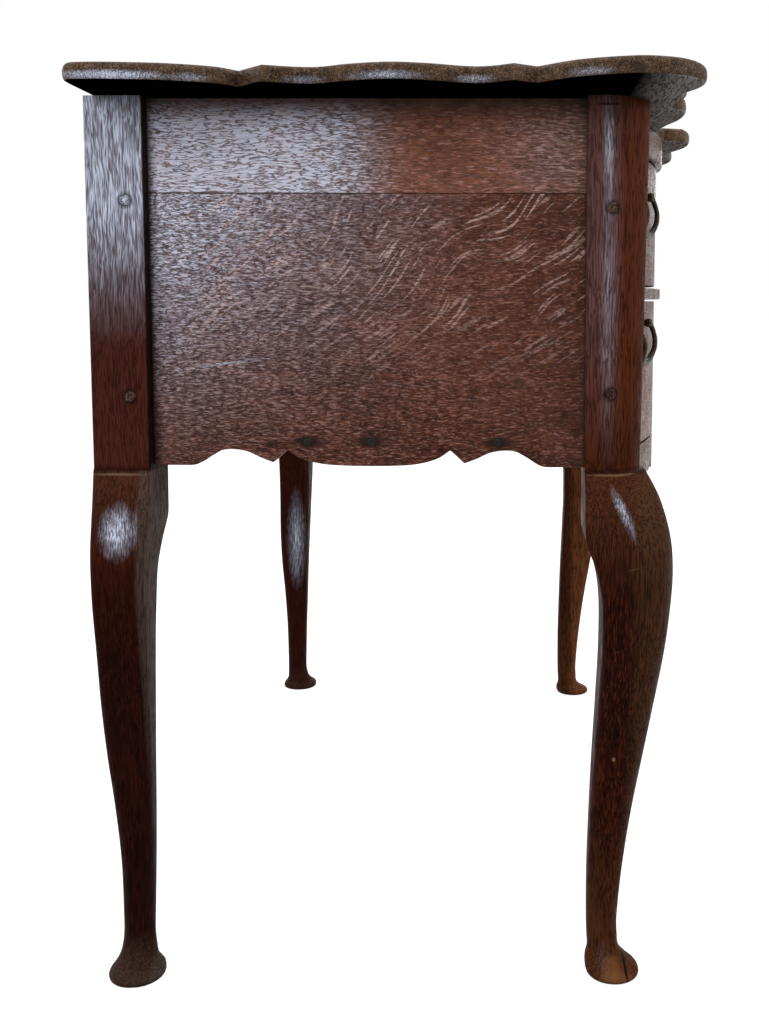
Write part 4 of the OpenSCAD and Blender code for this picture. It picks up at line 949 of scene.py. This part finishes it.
def stage_white():
    """White where the camera or a reflection sees it, with only a soft shadow of the object."""
    g = Graph("stage_white")
    pale = g.node("ShaderNodeBsdfDiffuse")
    pale.inputs["Color"].default_value = (STAGE_GREY, STAGE_GREY, STAGE_GREY, 1)
    glow = g.node("ShaderNodeEmission")
    glow.inputs["Color"].default_value = (1, 1, 1, 1)
    path = g.node("ShaderNodeLightPath")
    seen = g.math("MAXIMUM", path.outputs["Is Camera Ray"], path.outputs["Is Glossy Ray"])
    g.link(g.math("MULTIPLY", seen, STAGE_GLOW), glow.inputs["Strength"])
    both = g.node("ShaderNodeAddShader")
    g.link(pale.outputs[0], both.inputs[0])
    g.link(glow.outputs[0], both.inputs[1])
    g.link(both.outputs[0], g.out.inputs["Surface"])
    return g.mat


def make_floor(size):
    bm = bmesh.new()
    bmesh.ops.create_grid(bm, x_segments=1, y_segments=1, size=size)
    mesh = to_mesh("floor", bm)
    mesh.materials.append(stage_white())
    obj = bpy.data.objects.new("floor", mesh)
    bpy.context.scene.collection.objects.link(obj)


def make_world(strength):
    world = bpy.data.worlds.new("studio")
    bpy.context.scene.world = world
    world.use_nodes = True
    tree = world.node_tree
    tree.nodes.clear()
    soft, white = (tree.nodes.new("ShaderNodeBackground") for _ in range(2))
    soft.inputs["Strength"].default_value = strength
    soft.inputs["Color"].default_value = (1, 1, 1, 1)
    white.inputs["Color"].default_value = (1, 1, 1, 1)
    path = tree.nodes.new("ShaderNodeLightPath")
    seen = tree.nodes.new("ShaderNodeMath")
    seen.operation = "MAXIMUM"
    mixer = tree.nodes.new("ShaderNodeMixShader")
    out = tree.nodes.new("ShaderNodeOutputWorld")
    tree.links.new(path.outputs["Is Camera Ray"], seen.inputs[0])
    tree.links.new(path.outputs["Is Glossy Ray"], seen.inputs[1])
    tree.links.new(seen.outputs[0], mixer.inputs["Fac"])
    tree.links.new(soft.outputs[0], mixer.inputs[1])
    tree.links.new(white.outputs[0], mixer.inputs[2])
    tree.links.new(mixer.outputs[0], out.inputs["Surface"])


def area(name, where, size, power, colour=(1, 1, 1)):
    light = bpy.data.lights.new(name, "AREA")
    light.shape = "RECTANGLE"
    light.size, light.size_y = size
    light.energy = power
    light.color = colour
    obj = bpy.data.objects.new(name, light)
    obj.location = where
    obj.rotation_euler = (Vector(LIGHT_AIM) - Vector(where)).to_track_quat("-Z", "Y").to_euler()
    bpy.context.scene.collection.objects.link(obj)


make_floor(40.0)
make_world(0.5)
area("window_left", (-2.5, 1.3, 1.7), (1.2, 1.4), 34, (0.94, 0.97, 1.0))
area("window_front", (-0.9, -2.6, 1.5), (1.4, 1.4), 30, (1.0, 0.98, 0.95))
area("fill_right", (2.6, -0.5, 1.5), (1.4, 1.4), 24)
area("fill_back", (0.4, 2.7, 1.5), (1.4, 1.4), 20)
area("ceiling", (0.0, -0.2, 2.7), (2.2, 2.2), 26)


# The camera: focal length and image centre in pixels of the photograph, place in metres
PHOTO_W, PHOTO_H = 769, 1024
FOCAL_PX, CENTRE_PX = 1118, (493, 406)
CAMERA_AT = (-1.314, -0.0865, 0.597)
YAW, PITCH, ROLL = (math.radians(a) for a in (-1.19, 5.35, 0.18))


def make_camera():
    fwd = Vector((math.cos(YAW) * math.cos(PITCH), -math.sin(YAW) * math.cos(PITCH), -math.sin(PITCH)))
    flat_right = Vector((-math.sin(YAW), -math.cos(YAW), 0))
    flat_up = Vector((math.cos(YAW) * math.sin(PITCH), -math.sin(YAW) * math.sin(PITCH),
                      math.cos(PITCH)))
    right = flat_right * math.cos(ROLL) + flat_up * math.sin(ROLL)
    up = -flat_right * math.sin(ROLL) + flat_up * math.cos(ROLL)
    cam = bpy.data.cameras.new("camera")
    cam.sensor_width = 36.0
    cam.lens = FOCAL_PX * cam.sensor_width / PHOTO_H
    cam.shift_x = (PHOTO_W / 2 - CENTRE_PX[0]) / PHOTO_H
    cam.shift_y = (CENTRE_PX[1] - PHOTO_H / 2) / PHOTO_H
    obj = bpy.data.objects.new("camera", cam)
    obj.matrix_world = Matrix([(right[i], up[i], -fwd[i], CAMERA_AT[i]) for i in range(3)]
                              + [(0, 0, 0, 1)])
    bpy.context.scene.collection.objects.link(obj)
    bpy.context.scene.camera = obj


make_camera()
bpy.context.scene.view_settings.view_transform = "Standard"
